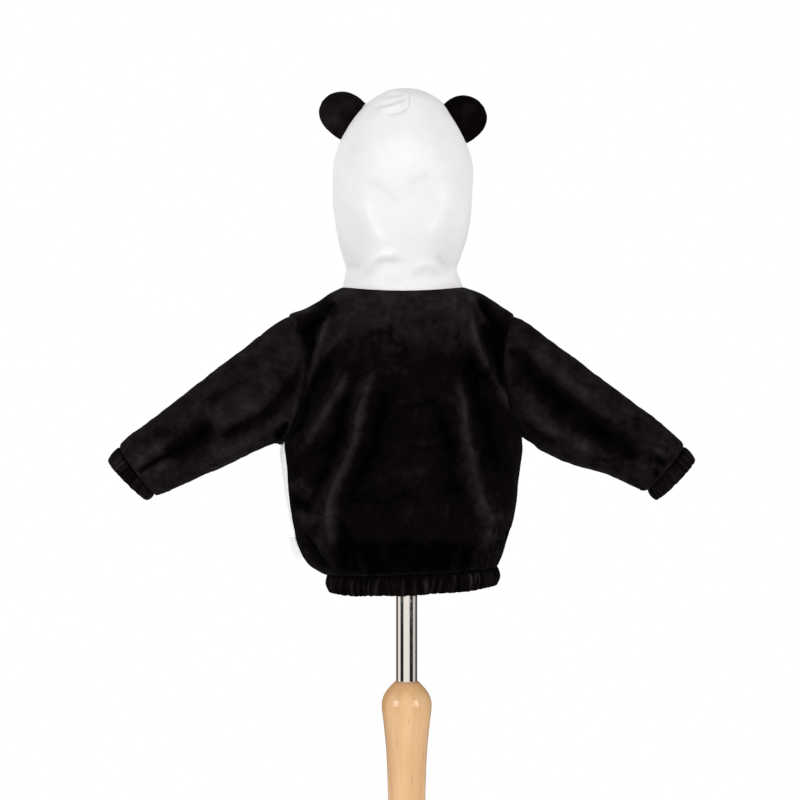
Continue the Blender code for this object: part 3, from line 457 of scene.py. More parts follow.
def ramp(tree, source, *stops):
    """Colours along a value: stops are (place, (red, green, blue))."""
    made = tree.nodes.new("ShaderNodeValToRGB")
    colours = made.color_ramp.elements
    while len(colours) < len(stops):
        colours.new(0.5)
    for slot, (place, colour) in zip(colours, stops):
        slot.position = place
        slot.color = (*colour, 1.0)
    fill(tree, made, {"Fac": source})
    return made.outputs["Color"]


def bump(tree, *layers):
    """Bump made of layers (height, strength, distance in metres), the finest last."""
    below = {}
    for height, strength, distance in layers:
        inputs = {"Height": height, "Strength": strength, "Distance": distance, **below}
        below = {"Normal": add(tree, "ShaderNodeBump", inputs)}
    return below["Normal"]

# %% Velour in black and in white
def velour(name, tones, gloss, sheen, sheen_roughness, tint, brushing, nap_bump, pile_bump):
    """Short plush pile: tones from painted shade to painted light, a rough sheen, and bump of two sizes."""
    finish, tree, shader, where = new_finish(name)
    # Each point's painted light picks its tone, and a random brushed mottle shifts it a little.
    painted_light_input = add(tree, "ShaderNodeAttribute", {}, "Fac", attribute_name="painted_light_and_mottle")
    brushed = add(tree, "ShaderNodeMapRange", {
        "Value": noise(tree, where, 62.0, 5.0, 0.66),
        "From Min": 0.3, "From Max": 0.7, "To Min": -brushing, "To Max": brushing})
    fill(tree, shader, {
        "Base Color": ramp(tree, add(tree, "ShaderNodeMath", {0: painted_light_input, 1: brushed}), *tones),
        "Roughness": 0.95,
        "Specular IOR Level": gloss,
        "Sheen Weight": sheen,
        "Sheen Roughness": sheen_roughness,
        "Sheen Tint": (*tint, 1.0),
        "Normal": bump(tree, (noise(tree, where, 70.0, 3.0, 0.6), nap_bump, 0.004),
                       (noise(tree, where, 900.0, 3.0, 0.7), pile_bump, 0.0006)),
    })
    return finish


# Lit and shaded copies of each velour: its tone from painted shade at 0 to painted light at 1.
BLACK_TONES = (
    (0.0, (0.0005, 0.0004, 0.0004)),
    (0.35, (0.0034, 0.0023, 0.0026)),
    (0.6, (0.0106, 0.0082, 0.0086)),
    (1.0, (0.0300, 0.0275, 0.0280)),
)
WHITE_TONES = (
    (0.0, (0.73, 0.715, 0.72)),
    (0.5, (0.785, 0.767, 0.774)),
    (1.0, (0.845, 0.826, 0.833)),
)
black_velour = velour("black velour", BLACK_TONES, 0.0, 0.05, 0.35, (0.50, 0.47, 0.48), 0.13, 0.35, 0.5)
white_velour = velour("white velour", WHITE_TONES, 0.08, 0.15, 0.5, (1.0, 1.0, 1.0), 0.10, 0.12, 0.3)
print("velour:", black_velour.name, white_velour.name)

# %% [markdown]
# The body hangs from the shoulders, swells out below the armpits and is drawn in again by the hem. Its sections
# are ovals a little squarer than an ellipse. The same sections give the back and the front, so that the two
# meet exactly on the side seams, round the armholes and over the shoulders.

# %% Sections of the body: the cloth's outside at each height, and how far back each side seam runs
TORSO = table(
    "height centre half_width back front",
    (32, -13, 102, 73, 71),
    (36, -9, 108, 81, 77),
    (46, -4, 117, 89, 84),
    (68, -1, 126.5, 93, 88),
    (107, -0.5, 136.5, 96, 91),
    (150, 0.7, 142.2, 97, 92),
    (178, 0.1, 145.1, 96.5, 92),
    (200, -1.5, 142.5, 95.5, 92),
    (226, -3.5, 138.5, 94, 91),
    (264, -4, 137.5, 91, 89),
    (300, -3, 135, 86, 84),
    (337, 0, 134.5, 76, 74),
    (347, -4, 116.5, 72, 71.5),
    (356, -5, 103, 68.5, 69.5),
    (364, -5, 90, 65, 68),
    (371, -1.5, 73, 62, 66),
)
SEAMS = table(
    "height left right",
    (32, 10, 10),
    (60, 11, 12),
    (80, 22, 4),
    (104, 27, 1),
    (128, 31, 1),
    (160, 37, 4),
    (180, 33, 9),
    (191, 27, 7),
)

# %% Points on the body
def oval(sizes, height, angle):
    """Point on an oval section; angle 0 is the +X side and 90 degrees the middle of the back."""
    height, angle = np.broadcast_arrays(np.asarray(height, float), np.asarray(angle, float))
    across, deep = (signed_power(way, 2.0 / ROUNDNESS) for way in (np.cos(angle), np.sin(angle)))
    depth = np.where(deep >= 0.0, read(sizes, "back", height), read(sizes, "front", height))
    x = read(sizes, "centre", height) + read(sizes, "half_width", height) * across
    return np.stack((x, depth * deep, height), axis=-1)


def hem_tilt(point):
    """The hem hangs a little lower on the +X side."""
    reach = 1.0 - ease((point[..., 2] - BAND_TOP) / HEM_TILT_REACH)
    tilted = point.copy()
    tilted[..., 2] -= HEM_TILT * point[..., 0] * reach
    return tilted


def torso(height, angle):
    """Point on the outside of the body cloth, before its folds."""
    point = oval(TORSO, height, angle)
    rise = np.clip((point[..., 2] - TIP) / (NECK - TIP), 0.0, 1.0)
    dip = np.where(np.sin(angle) >= 0.0, NECK_DIP_BACK, NECK_DIP_FRONT)
    point[..., 2] -= rise * dip * np.sin(angle) ** 2
    # The left armpit of the real one hangs a little lower.
    near_armpit = bell((point[..., 2] - UNDERARM) / 14.0) * ease((point[..., 0] - 116.0) / 20.0)
    point[..., 2] -= LEFT_ARMPIT_SAG * near_armpit
    return hem_tilt(point)

# %% Where the back and the front meet
def seam_y(height, name):
    """How far back the side seam, the armhole's middle line or the shoulder seam is."""
    under = read(SEAMS, name, height)
    rise = ease((height - UNDERARM) / (TIP - UNDERARM))
    neck = ease((height - TIP) / (NECK - TIP))
    return under * (1.0 - rise) + TIP_SEAM_Y * rise * (1.0 - 0.4 * neck)


def edge_angle(height, turn, name, panel):
    """Section angle of a panel's edge: side seam, armhole or shoulder seam."""
    y = seam_y(height, name)
    y = y + ((ARMHOLE_BACK if panel == "back" else ARMHOLE_FRONT) - y) * np.sin(turn)
    depth = np.where(y >= 0.0, read(TORSO, "back", height), read(TORSO, "front", height))
    angle = np.sign(y) * np.arcsin(np.minimum(1.0, np.abs(y) / depth) ** (ROUNDNESS / 2.0))
    return angle if name == "left" else math.pi - angle

# %% Rows and columns of the two body panels
LOWER_ROWS = 82
ARMHOLE_ROWS = 86
SHOULDER_ROWS = 28
BACK_SPANS = 152
FRONT_SPANS = 100

low_share = np.linspace(0.0, 1.0, LOWER_ROWS + 1)
low_heights = BAND_TOP + (UNDERARM - BAND_TOP) * (0.25 * low_share + 0.75 * low_share**1.5)
arm_turns = np.linspace(math.pi, 0.0, ARMHOLE_ROWS + 1)[1:]
arm_heights = 0.5 * (TIP + UNDERARM) + 0.5 * (TIP - UNDERARM) * np.cos(arm_turns)
top_share = np.linspace(0.0, 1.0, SHOULDER_ROWS + 1)[1:]
top_heights = TIP + (NECK - TIP) * (1.0 - (1.0 - top_share) ** 1.3)

edge_heights = np.concatenate((low_heights, arm_heights, top_heights))
edge_turns = np.concatenate((0.0 * low_heights, arm_turns, 0.0 * top_heights))
middle_heights = edge_heights.copy()
middle_heights[LOWER_ROWS:LOWER_ROWS + ARMHOLE_ROWS + 1] = np.linspace(UNDERARM, TIP, ARMHOLE_ROWS + 1)
print("panel rows:", len(edge_heights))

# %% [markdown]
# The crests of the back were read off the photograph as seen from behind. On the left they fan out from the neck
# and the armpit down to the hem, with one strong crest; on the right one long thin crest runs from the shoulder
# blade to the hem. The middle stays nearly flat, with a few shallow creases across it.

# %% Folds of the back and the front: height, half width, lean, line (across, up)
BACK_FOLDS = (
    (-8, 8, 0, ((76, 352), (92, 335), (108, 314), (116, 300))),
    (-8, 7, 0, ((103, 312), (108, 293), (113, 268))),
    (6, 6, 0.3, ((79, 348), (93, 318), (102, 285), (109, 257), (115, 232))),
    (3, 8, 0, ((66, 322), (81, 302), (98, 281), (108, 259))),
    (-7, 9, 0, ((76, 303), (92, 274), (108, 242), (117, 210), (131, 181))),
    (7.5, 9, 0.2, ((60, 276), (74, 250), (84, 234), (98, 212), (114, 190), (130, 174))),
    (-7, 10, 0.1, ((54, 260), (67, 232), (76, 196), (85, 172), (97, 138), (101, 112))),
    (9.5, 9, 0.35, ((30, 280), (41, 250), (51, 222), (55, 194), (67, 164), (78, 142), (86, 118), (88, 99),
                      (84, 76), (74, 46))),
    (-4.5, 12, 0, ((20, 274), (24, 234), (36, 186), (56, 134), (66, 100))),
    (-5, 7, 0, ((72, 100), (68, 74), (60, 46))),
    (4.5, 7, 0, ((128, 146), (116, 134), (102, 126))),
    (-4, 7, 0, ((130, 127), (116, 114), (100, 106))),
    (4.5, 7, 0, ((126, 110), (113, 98), (98, 93))),
    (-5, 6, 0, ((114, 84), (98, 58), (80, 38))),
    (4, 4.5, 0, ((105, 84), (90, 58), (72, 38))),
    (4.5, 3, 0, ((58, 66), (48, 50), (40, 34))),
    (-2.5, 5, 0, ((52, 68), (40, 50), (32, 34))),
    (4.5, 3, 0, ((-72, 71), (-64, 55), (-57, 34))),
    (-2.5, 5, 0, ((-66, 74), (-56, 56), (-49, 34))),
    (3, 2.5, 0, ((14, 50), (11, 42), (10, 34))),
    (3, 2.5, 0, ((-30, 52), (-28, 43), (-24, 34))),
    (3.5, 3, 0, ((-88, 62), (-84, 48), (-80, 34))),
    (4, 5, 0, ((-79, 366), (-92, 343), (-106, 313))),
    (-7, 6, 0, ((-86, 358), (-103, 334), (-118, 309))),
    (-9, 10, 0, ((-97, 330), (-111, 297), (-119, 262), (-122, 240))),
    (6.5, 4.5, -0.2, ((-82, 348), (-86, 314), (-99, 281), (-110, 262), (-126, 229), (-131, 210))),
    (-7, 9, 0, ((-78, 304), (-88, 257), (-100, 210), (-113, 163), (-119, 132))),
    (7.5, 7, 0.35, ((-65, 276), (-72, 243), (-78, 196), (-86, 163), (-95, 125), (-107, 96), (-103, 78),
                      (-101, 46))),
    (-3, 12, 0, ((-44, 250), (-54, 190), (-66, 130), (-74, 90))),
    (4, 5, 0, ((-100, 83), (-112, 75), (-124, 72))),
    (-5, 6, 0, ((-108, 66), (-119, 74), (-129, 86))),
    (4, 7, 0, ((-112, 102), (-122, 98), (-130, 100))),
    (-3, 2.6, 0, ((12, 229), (-13, 228), (-30, 231), (-50, 239))),
    (-3.2, 2.6, 0, ((3, 187), (-27, 181), (-50, 183), (-76, 187))),
    (-3.2, 3, 0, ((68, 122), (48, 119), (29, 119), (4, 125), (-24, 138))),
    (-2.2, 2.6, 0, ((29, 216), (12, 210), (-4, 213))),
    (1.6, 7, 0, ((20, 158), (-10, 150), (-40, 156))),
)
print("folds of the back:", len(BACK_FOLDS))

# %% Folds of the front
FRONT_FOLDS = (
    (-6, 9, 0, ((74, 348), (92, 325), (112, 288))),
    (6, 8, 0, ((62, 318), (84, 270), (108, 214))),
    (-5, 9, 0, ((58, 284), (74, 232), (98, 176))),
    (7, 9, 0.2, ((42, 262), (62, 200), (84, 132), (86, 92), (78, 50))),
    (-5, 10, 0, ((34, 236), (48, 170), (66, 104))),
    (-6, 9, 0, ((-74, 348), (-94, 322), (-112, 286))),
    (6, 8, 0, ((-62, 314), (-82, 262), (-106, 204))),
    (-5, 9, 0, ((-54, 280), (-74, 226), (-100, 168))),
    (7, 9, -0.2, ((-44, 254), (-64, 190), (-88, 124), (-88, 88), (-80, 48))),
    (-4, 10, 0, ((-32, 222), (-50, 160), (-68, 98))),
    (3, 9, 0, ((8, 108), (20, 76), (32, 44))),
    (-3, 9, 0, ((-24, 120), (-20, 80), (-10, 44))),
    (-1.8, 4, 0, ((-30, 152), (0, 144), (34, 150))),
    (-1.8, 4, 0, ((-20, 222), (12, 216), (40, 224))),
    (-1.6, 4, 0, ((-36, 300), (0, 290), (30, 298))),
)
# Hollows of the back that lie in shade: across, up, half width, half height, how much darker.
SHADED_HOLLOWS = (
    (-120, 302, 14, 34, 0.34),
    (116, 318, 9, 16, 0.20),
    (-36, 56, 62, 16, 0.10),
)
HEM_PLEATS = 54
HEM_PLEAT_SEED = 11

# %% The back and front panels
def worn_folds(rows, flat, normals, fade):
    """Relief of the folds, measured where the cloth ends up, so that each crest shows on its own line."""
    relief = np.zeros(flat.shape[:-1])
    for _ in range(3):
        moved = flat + normals * relief[..., None]
        relief = all_folds(rows, moved[..., 0], moved[..., 2]) * fade
    return relief


def body_panel(panel, spans):
    """Grid of the back or the front panel with its folds, the shares of its columns, and its painted light and
    mottle.
    """
    share = spread_out(spans)
    left, right = (edge_angle(edge_heights, edge_turns, name, panel) for name in ("left", "right"))
    if panel == "front":
        left, right = right, left + TURN
    angle = left[:, None] + (right - left)[:, None] * share
    at_edge = 1.0 - ease(np.minimum(share, 1.0 - share) / 0.12)
    height = middle_heights[:, None] + (edge_heights - middle_heights)[:, None] * at_edge
    flat = torso(height, angle)
    normals = grid_normals(flat, False, 1.0)
    away = edge_distances(flat, False)
    sides = np.minimum(away["first_column"], away["last_column"])
    low, top = away["first_row"], away["last_row"]
    # Folds flatten near the seams that hold them.
    fade = ease(sides / 9.0 + 0.1) * ease(low / 14.0 + 0.1) * ease(top / 18.0)
    relief = worn_folds(BACK_FOLDS if panel == "back" else FRONT_FOLDS, flat, normals, fade)
    # Gathers rise out of the hem band, and here and there the pile is finely creased.
    gathers = pleats(angle, low / 40.0, HEM_PLEAT_SEED, HEM_PLEATS) - PLEAT_LEVEL
    gathers = fading(gathers, low, 11.0, 0.35, 34.0)
    creases = small_creases(flat, 30.0, 21) * ease(unevenness(flat, 60.0, 8) + 0.5)
    # Crests, and slopes that face outwards, get painted light; hollows and creases get painted shade; a faint random
    # mottle comes on top.
    x, _, z = np.moveaxis(flat, -1, 0)
    step = np.linalg.norm(np.gradient(flat, axis=1), axis=-1)
    rising = -np.tanh(x / 15.0) * np.gradient(relief, axis=1) / step
    painted_light_and_mottle = 0.31 + 0.32 * np.tanh(relief / PAINTED_LIGHT_RELIEF) + 0.17 * np.tanh(1.4 * rising)
    painted_light_and_mottle += 0.6 * np.maximum(gathers, 0.0) - 0.12 * creases
    painted_light_and_mottle += 0.04 * unevenness(flat, 38.0, 9) + 0.03 * unevenness(flat, 11.0, 10)
    if panel == "back":
        # Painted light over the shoulder blades, but not in the folds beside the armholes; painted shade low in the
        # middle and in the shaded hollows.
        near_shoulder = bell((np.abs(x) - 97.0) / 13.0)
        painted_light_and_mottle += 0.34 * ease((z - 270.0) / 85.0) * (1.0 - 0.8 * near_shoulder) * (1.0 - 0.9 * ease(-relief / 4.0))
        painted_light_and_mottle -= 0.30 * ease((80.0 - z) / 14.0) * ease((92.0 - np.abs(x + 4.0)) / 20.0)
        for spot_x, spot_z, wide, high, darker in SHADED_HOLLOWS:
            painted_light_and_mottle -= darker * np.exp(-(((x - spot_x) / wide) ** 2) - ((z - spot_z) / high) ** 2)
    # Gathers and a faint unevenness come on top, and all of it dies out right at the edges.
    relief += GATHER_HEIGHT * gathers * ease(sides / 6.0)
    relief += 0.45 * unevenness(flat, 46.0, 5) + 0.2 * unevenness(flat, 17.0, 6) - 0.5 * creases
    relief *= ease(sides / EDGE_REST) * ease(low / EDGE_REST) * ease(top / EDGE_REST)
    return flat + normals * relief[..., None], share, painted_light_and_mottle


back_points, back_share, back_painted_light_and_mottle = body_panel("back", BACK_SPANS)
front_points, front_share, front_painted_light_and_mottle = body_panel("front", FRONT_SPANS)
note_seams(back_points, False, 1.0)
note_seams(front_points, False, 1.0)

# %% [markdown]
# A sleeve is one tube, wide at the armhole and narrow at the cuff. It starts on the armhole's own points, so the
# seam fits, and is led over to plain oval rings further down. One deep crease runs up each sleeve from the cuff,
# because the elastic gathers more cloth there than the arm needs.

# %% Sizes of the sleeves: upper edge and lower edge (across, up) and half depth, from the armhole to the cuff
SLEEVE_LEFT = table(
    "station top_x top_z low_x low_z depth",
    (0.00, 134.5, 337, 147, 191, 52),
    (0.07, 154, 325.5, 152, 189.5, 53),
    (0.16, 182, 304, 159, 186.5, 52),
    (0.30, 216, 278, 173, 179, 49),
    (0.45, 248, 253, 200, 164.5, 45),
    (0.62, 282, 227, 238, 146, 41),
    (0.78, 311, 204.5, 268, 132, 37),
    (0.90, 327.5, 192.5, 285, 124, 34),
    (0.96, 335, 185.5, 293, 121.5, 31),
    (1.00, 338.5, 180, 296.5, 123.5, 27),
)
SLEEVE_RIGHT = table(
    "station top_x top_z low_x low_z depth",
    (0.00, 134.5, 337, 147, 191, 52),
    (0.07, 154, 327, 152, 188, 53),
    (0.16, 182, 305.5, 159, 184, 52),
    (0.30, 217, 279.5, 173, 175.5, 49),
    (0.45, 249, 255, 200, 162.5, 45),
    (0.62, 283, 229.5, 238, 149.5, 41),
    (0.78, 312.5, 206.5, 268, 137.5, 37),
    (0.90, 329, 193.5, 284, 129.5, 34),
    (0.96, 335.5, 186, 290.5, 127, 31),
    (1.00, 338.5, 180.5, 295, 127.5, 27),
)
SLEEVE_LENGTH = 216.0
SLEEVE_GIRTH_RADIUS = 48.0
ARMHOLE_BLEND = 0.45
SLEEVE_SPANS = 104
CUFF_PLEATS = 17
UNDERARM_SEAM = (0.9, 1.3, 34.0)  # depth, half width, radius of the sleeve there

# %% Folds of the sleeves: height, half width, lean, line (along from the armhole, round from the back's middle)
SLEEVE_LEFT_FOLDS = (
    (-6.5, 3.6, 0, ((128, 5), (152, 5), (184, 4), (214, 5))),
    (-7.5, 11, 0, ((90, 2), (112, 5), (132, 7), (158, 6))),
    (-5, 10, 0, ((0, -14), (14, 0), (38, 14), (76, 22), (108, 22))),
    (4.5, 8, 0, ((8, 30), (40, 36), (84, 40), (130, 34))),
    (4, 9, 0, ((20, 2), (56, 6), (90, 8), (112, 4))),
    (-8, 9, 0, ((12, 36), (18, 47), (32, 57))),
    (6, 5, 0, ((5, 2), (6, 26), (5, 56))),
    (7, 6, 0, ((3, 66), (10, 74), (16, 82))),
    (3.5, 8, 0, ((150, 14), (176, 14), (206, 12))),
    (3.5, 8, 0, ((150, -8), (178, -8), (206, -6))),
    (-1.1, 12, 0, ((120, -22), (150, -26), (184, -22))),
    (-1.1, 11, 0, ((40, -30), (70, -24), (96, -26))),
    (-5, 9, 0, ((8, 150), (50, 142), (90, 140))),
    (4.5, 10, 0, ((70, 118), (130, 120), (190, 128))),
    (-6, 8, 0, ((110, 146), (160, 144), (208, 148))),
    (3.5, 10, 0, ((30, 90), (90, 88), (150, 96))),
)
SLEEVE_RIGHT_FOLDS = (
    (-7, 14, 0, ((4, -30), (24, -18), (62, -4), (104, 4), (138, 8), (168, 4))),
    (4.5, 9, 0, ((10, -38), (50, -28), (90, -22), (130, -12))),
    (5.5, 8, 0, ((4, 14), (26, 20), (64, 26), (98, 28), (140, 28))),
    (-2.5, 7, 0, ((8, 34), (40, 40), (80, 40))),
    (4.5, 6, 0, ((164, -12), (182, -12), (204, -14))),
    (-5, 5, 0, ((178, -2), (192, -2), (208, -6))),
    (5, 7, 0, ((158, 16), (172, 18), (188, 18))),
    (-4.5, 5, 0, ((190, 12), (200, 16), (210, 22))),
    (-3, 6, 0, ((148, 20), (152, 14), (158, 6))),
    (-5, 9, 0, ((8, 144), (60, 140), (96, 138))),
    (4.5, 10, 0, ((70, 112), (130, 116), (184, 122))),
    (-6, 8, 0, ((104, 150), (160, 144), (208, 140))),
    (3.5, 10, 0, ((30, 84), (90, 88), (150, 92))),
)

# %% The sleeves
def ring(top, low, depth, turns, side):
    """Oval rings between upper and lower points; the turn starts at the top and goes over the back."""
    centre = [0.5 * (top[k] + low[k]) for k in (0, 1)]
    half = [0.5 * (top[k] - low[k]) for k in (0, 1)]
    x = side * (centre[0] + half[0] * np.cos(turns))
    return np.stack((x, depth * np.sin(turns), centre[1] + half[1] * np.cos(turns)), axis=-1)


def sleeve_rings(station, turns, side):
    sizes = SLEEVE_LEFT if side > 0 else SLEEVE_RIGHT
    top_x, top_z, low_x, low_z, depth = (read(sizes, name, station) for name in sizes[0][1:])
    return ring((top_x, top_z), (low_x, low_z), depth, turns, side)


def armhole_loop(name):
    """Points round an armhole from the shoulder tip down the back and up the front."""
    rows = slice(LOWER_ROWS, LOWER_ROWS + ARMHOLE_ROWS + 1)
    back = back_points[rows, 0 if name == "left" else -1]
    front = front_points[rows, -1 if name == "left" else 0]
    return np.concatenate((back[::-1], front[1:-1]))

# %% A whole sleeve
sleeve_turns = circle(2 * ARMHOLE_ROWS)


def sleeve(name, side, folds, seed):
    """Grid of a sleeve from its armhole to the cuff seam, with its folds, and its painted light and mottle."""
    station = spread_out(SLEEVE_SPANS, (0.0, 0.003, 0.007, 0.012, 0.018))[:, None]
    turns = sleeve_turns[None, :]
    start = armhole_loop(name) - sleeve_rings(np.zeros(1), sleeve_turns, side)
    flat = sleeve_rings(station, turns, side) + start * (1.0 - ease(station / ARMHOLE_BLEND))[..., None]
    normals = grid_normals(flat, True, -side)
    # Folds are drawn on the sleeve laid flat: along the arm, and round it from the middle of the back.
    along = station * SLEEVE_LENGTH + 0.0 * turns
    around = ((turns - 0.5 * math.pi + math.pi) % TURN - math.pi) * SLEEVE_GIRTH_RADIUS + 0.0 * along
    away = edge_distances(flat, True)
    arm_end, cuff_end = away["first_row"], away["last_row"]
    relief = all_folds(folds, along, around) * ease(arm_end / 12.0 + 0.1) * ease(cuff_end / 8.0 + 0.2)
    gathers = pleats(turns, cuff_end / 30.0, seed, CUFF_PLEATS) - PLEAT_LEVEL
    gathers = fading(gathers, cuff_end, 9.0, 0.3, 28.0)
    creases = small_creases(flat, 28.0, seed + 3) * ease(unevenness(flat, 60.0, seed + 7) + 0.5)
    # Painted shade in hollows is stronger than painted light on crests, because each sleeve has one deep crease.
    painted_light_and_mottle = 0.55 + np.where(relief > 0.0, 0.20, 0.50) * np.tanh(relief / PAINTED_LIGHT_RELIEF) - 0.10 * creases
    # Gather crests get painted highlights, and the right sleeve a little painted shade all over; a faint random
    # mottle comes on top.
    painted_light_and_mottle += 0.25 * np.maximum(gathers, 0.0) - 0.04 * (side < 0)
    painted_light_and_mottle += 0.04 * unevenness(flat, 30.0, seed + 4) + 0.03 * unevenness(flat, 9.0, seed + 5)
    relief += GATHER_HEIGHT * gathers
    relief += 0.5 * unevenness(flat, 40.0, seed + 1) + 0.25 * unevenness(flat, 15.0, seed + 2) - 0.5 * creases
    # The seam under the arm pulls in a fine groove.
    depth, half_width, radius = UNDERARM_SEAM
    relief -= depth * bell(np.abs(turns - math.pi) * radius / half_width)
    relief *= ease(arm_end / EDGE_REST) * ease(cuff_end / EDGE_REST)
    return flat + normals * relief[..., None], painted_light_and_mottle


sleeve_grid = {}
for name, side, folds, seed in (("left", 1, SLEEVE_LEFT_FOLDS, 30), ("right", -1, SLEEVE_RIGHT_FOLDS, 50)):
    sleeve_grid[name] = sleeve(name, side, folds, seed)
    note_seams(sleeve_grid[name][0], True, -side)
print("sleeve grid:", sleeve_grid["left"][0].shape[:2])

# %% [markdown]
# The cuffs and the hem are casings with elastic inside: the velour is folded round it and sewn on while the
# elastic is stretched, so the cloth bunches in uneven pleats. The pleats carry on a little way into the sleeve
# and the body, which is why both use the same gathers. A seam allowance is turned in under the neighbour, so
# that no light shows through the seam.

# %% Cuffs
CUFF_END = (352.5, 163.5, 306.0, 115.5, 28.0)
CUFF_BULGE = 1.4
CUFF_PLEAT_HEIGHT = 1.8
CUFF_GATHERS = 34
CUFF_ROWS = 16
CUFF_POINTS = 300
CUFF_LENGTH = 24.0
TUCK_WIDTH = 1.6

# %% Making the cuffs
def cuff(side, seed):
    """Grid of a gathered cuff from the sleeve's end to its open end, and its painted light."""
    turns = circle(CUFF_POINTS)
    share = np.linspace(0.0, 1.0, CUFF_ROWS + 1)[:, None]
    start = sleeve_rings(np.ones(1), turns, side)
    end = ring(CUFF_END[0:2], CUFF_END[2:4], CUFF_END[4], turns, side)
    grid = start + (end - start) * share[..., None]
    out = unit(grid - grid.mean(axis=1, keepdims=True))
    wave = pleats(turns[None, :], share * 1.5, seed, CUFF_GATHERS, 0.25, 0.6) - PLEAT_LEVEL
    arch = np.sin(math.pi * share)
    swell = CUFF_BULGE * arch + CUFF_PLEAT_HEIGHT * wave * (0.55 + 0.45 * arch)
    # The seam to the sleeve is tucked in, deeper on two sides, and the open edge is a little wavy.
    depth = 1.0 + 0.7 * np.sin(2.0 * turns + 0.6)[None, :]
    tuck = -1.1 * depth * bell(share * CUFF_LENGTH / TUCK_WIDTH)
    grid = grid + out * (swell + tuck)[..., None]
    forward = unit((end - start).mean(axis=0))
    grid = grid + forward * (0.8 * share * (pleats(turns, 1.5, seed, CUFF_GATHERS) - 0.6)[None, :])[..., None]
    # Painted highlights on the pleat crests, stronger in some places than in others, and painted shade in the tuck at
    # the seam.
    gathered = 0.35 + 0.65 * ease(0.5 + unevenness(grid, 40.0, seed + 9))
    painted_light_and_mottle = 0.50 + (0.5 * np.maximum(wave + PLEAT_LEVEL, 0.0) ** 2 - 0.28) * gathered
    painted_light_and_mottle = painted_light_and_mottle - 0.30 * bell(share * CUFF_LENGTH / (2.2 * depth))
    turned_in = grid[:1] - forward * SEAM_ALLOWANCE - 1.6 * out[:1]
    return np.concatenate((turned_in, grid)), np.concatenate((painted_light_and_mottle[:1], painted_light_and_mottle))


cuff_cloth = {}
for name, side, seed in (("left", 1, 30), ("right", -1, 50)):
    cuff_points, cuff_painted_light = cuff(side, seed)
    cuff_cloth[name] = cloth(f"cuff_velour_{name}", cuff_points, True, -side, black_velour, 2.2, 1.0, 1.5, cuff_painted_light)

# %% Hem band
BAND = table(
    "height centre half_width back front",
    (9, -13.5, 100.5, 73, 70),
    (21, -13.5, 104.5, 76, 73.5),
    (32, -13, 102, 73, 71),
)
BAND_PLEAT_HEIGHT = 2.6
BAND_ROWS = 20
BAND_POINTS = 760
BAND_PLEATS = 92
BAND_SAG = 2.4
BAND_LENGTH = 22.6

# %% Making the hem band
def hem_band():
    """Grid of the gathered hem band from its lower edge up to the body, and its painted light."""
    turns = circle(BAND_POINTS)
    heights = np.linspace(BAND_BOTTOM, BAND_TOP, BAND_ROWS + 1)[:, None]
    share = (heights - BAND_BOTTOM) / (BAND_TOP - BAND_BOTTOM)
    below = 1.0 - share
    grid = oval(BAND, heights, turns[None, :])
    out = np.stack((np.cos(turns), np.sin(turns), 0.0 * turns), axis=-1)
    fixed, drifting = (pleats(turns[None, :], rise, HEM_PLEAT_SEED, BAND_PLEATS, 0.25, 0.7)
                       for rise in (0.0, below * 3.0))
    swell = BAND_PLEAT_HEIGHT * (drifting - PLEAT_LEVEL) * (0.6 + 0.4 * np.sin(math.pi * share))
    tuck = -0.9 * bell(below * BAND_LENGTH / TUCK_WIDTH)
    grid = grid + out[None, :, :] * (swell + tuck)[..., None]
    # The lower edge is wavy, and it sags where it hangs over the pole.
    sag = BAND_SAG * bell((grid[..., 0] - STAND_X) / 26.0) * (grid[..., 1] > 0.0)
    grid[..., 2] += below * (0.9 - 1.1 * fixed + 0.8 * np.sin(5.0 * turns + 0.4)[None, :] - sag)
    # Painted highlights on the pleat crests, stronger in some places than in others and none just below the body; the
    # rest is painted shade.
    gathered = 0.5 + 0.5 * ease(0.5 + unevenness(grid, 40.0, 77))
    painted_light_and_mottle = 0.18 + 0.70 * np.maximum(drifting, 0.0) ** 3 * ease(below * BAND_LENGTH / 4.0) * gathered
    grid = hem_tilt(grid)
    turned_in = grid[-1:] + np.array((0.0, 0.0, SEAM_ALLOWANCE)) - 1.2 * out
    return np.concatenate((grid, turned_in)), np.concatenate((painted_light_and_mottle, painted_light_and_mottle[-1:]))


band_points, band_painted_light = hem_band()
hem_cloth = cloth("hem_band_velour", band_points, True, 1.0, black_velour, 2.4, 1.0, 1.5, band_painted_light)

# %% [markdown]
# The hood is cut in two halves that meet in a seam over the crown. It fits closely over the head form, so its
# surface is made by shooting a ray outwards from the middle of the head for each grid point until it meets the
# section table's surface. The halves start on the neckline's own points and end at the face opening.

# %% Sections of the hood (the cloth's outside at each height) and its folds
HOOD_TOP = 609.0
HOOD = table(
    "height centre half_width back front",
    (340, -1.5, 73, 62, 66),
    (371, -1.5, 73, 62, 66),
    (380, -1, 69.5, 63, 67),
    (392, 0, 65.6, 65, 69),
    (405, -0.5, 69.6, 71, 73),
    (428, -1, 77, 82, 80),
    (450, -1, 81, 90, 84),
    (470, -1, 83.5, 95, 87),
    (500, -1.5, 84, 98, 89),
    (517, -1.5, 83, 97.5, 89),
    (532, -1.5, 79.3, 95, 88),
    (546, -1.5, 74.2, 90, 85),
    (562, -2, 66.4, 82, 79),
    (577, -2.5, 57, 71, 70),
    (592, -3.5, 44.5, 57, 57),
    (601, -4.5, 31, 41, 42),
    (606.5, -5, 17, 24, 25),
    (HOOD_TOP, -5.5, 0, 0, 0),
)
HOOD_MIDDLE = 480.0
HEAD_CENTRE = np.array((0.0, 0.0, HOOD_MIDDLE))
CROWN_ANGLE = 58.0
FOREHEAD_ANGLE = 128.0
FACE_HALF_WIDTH = 60.0
FACE_DEPTH = 75.0
FACE_FULLNESS = 0.55
HOOD_SPANS = 118
HOOD_SEED = 70
CROWN_SEAM_JOG = 6.0
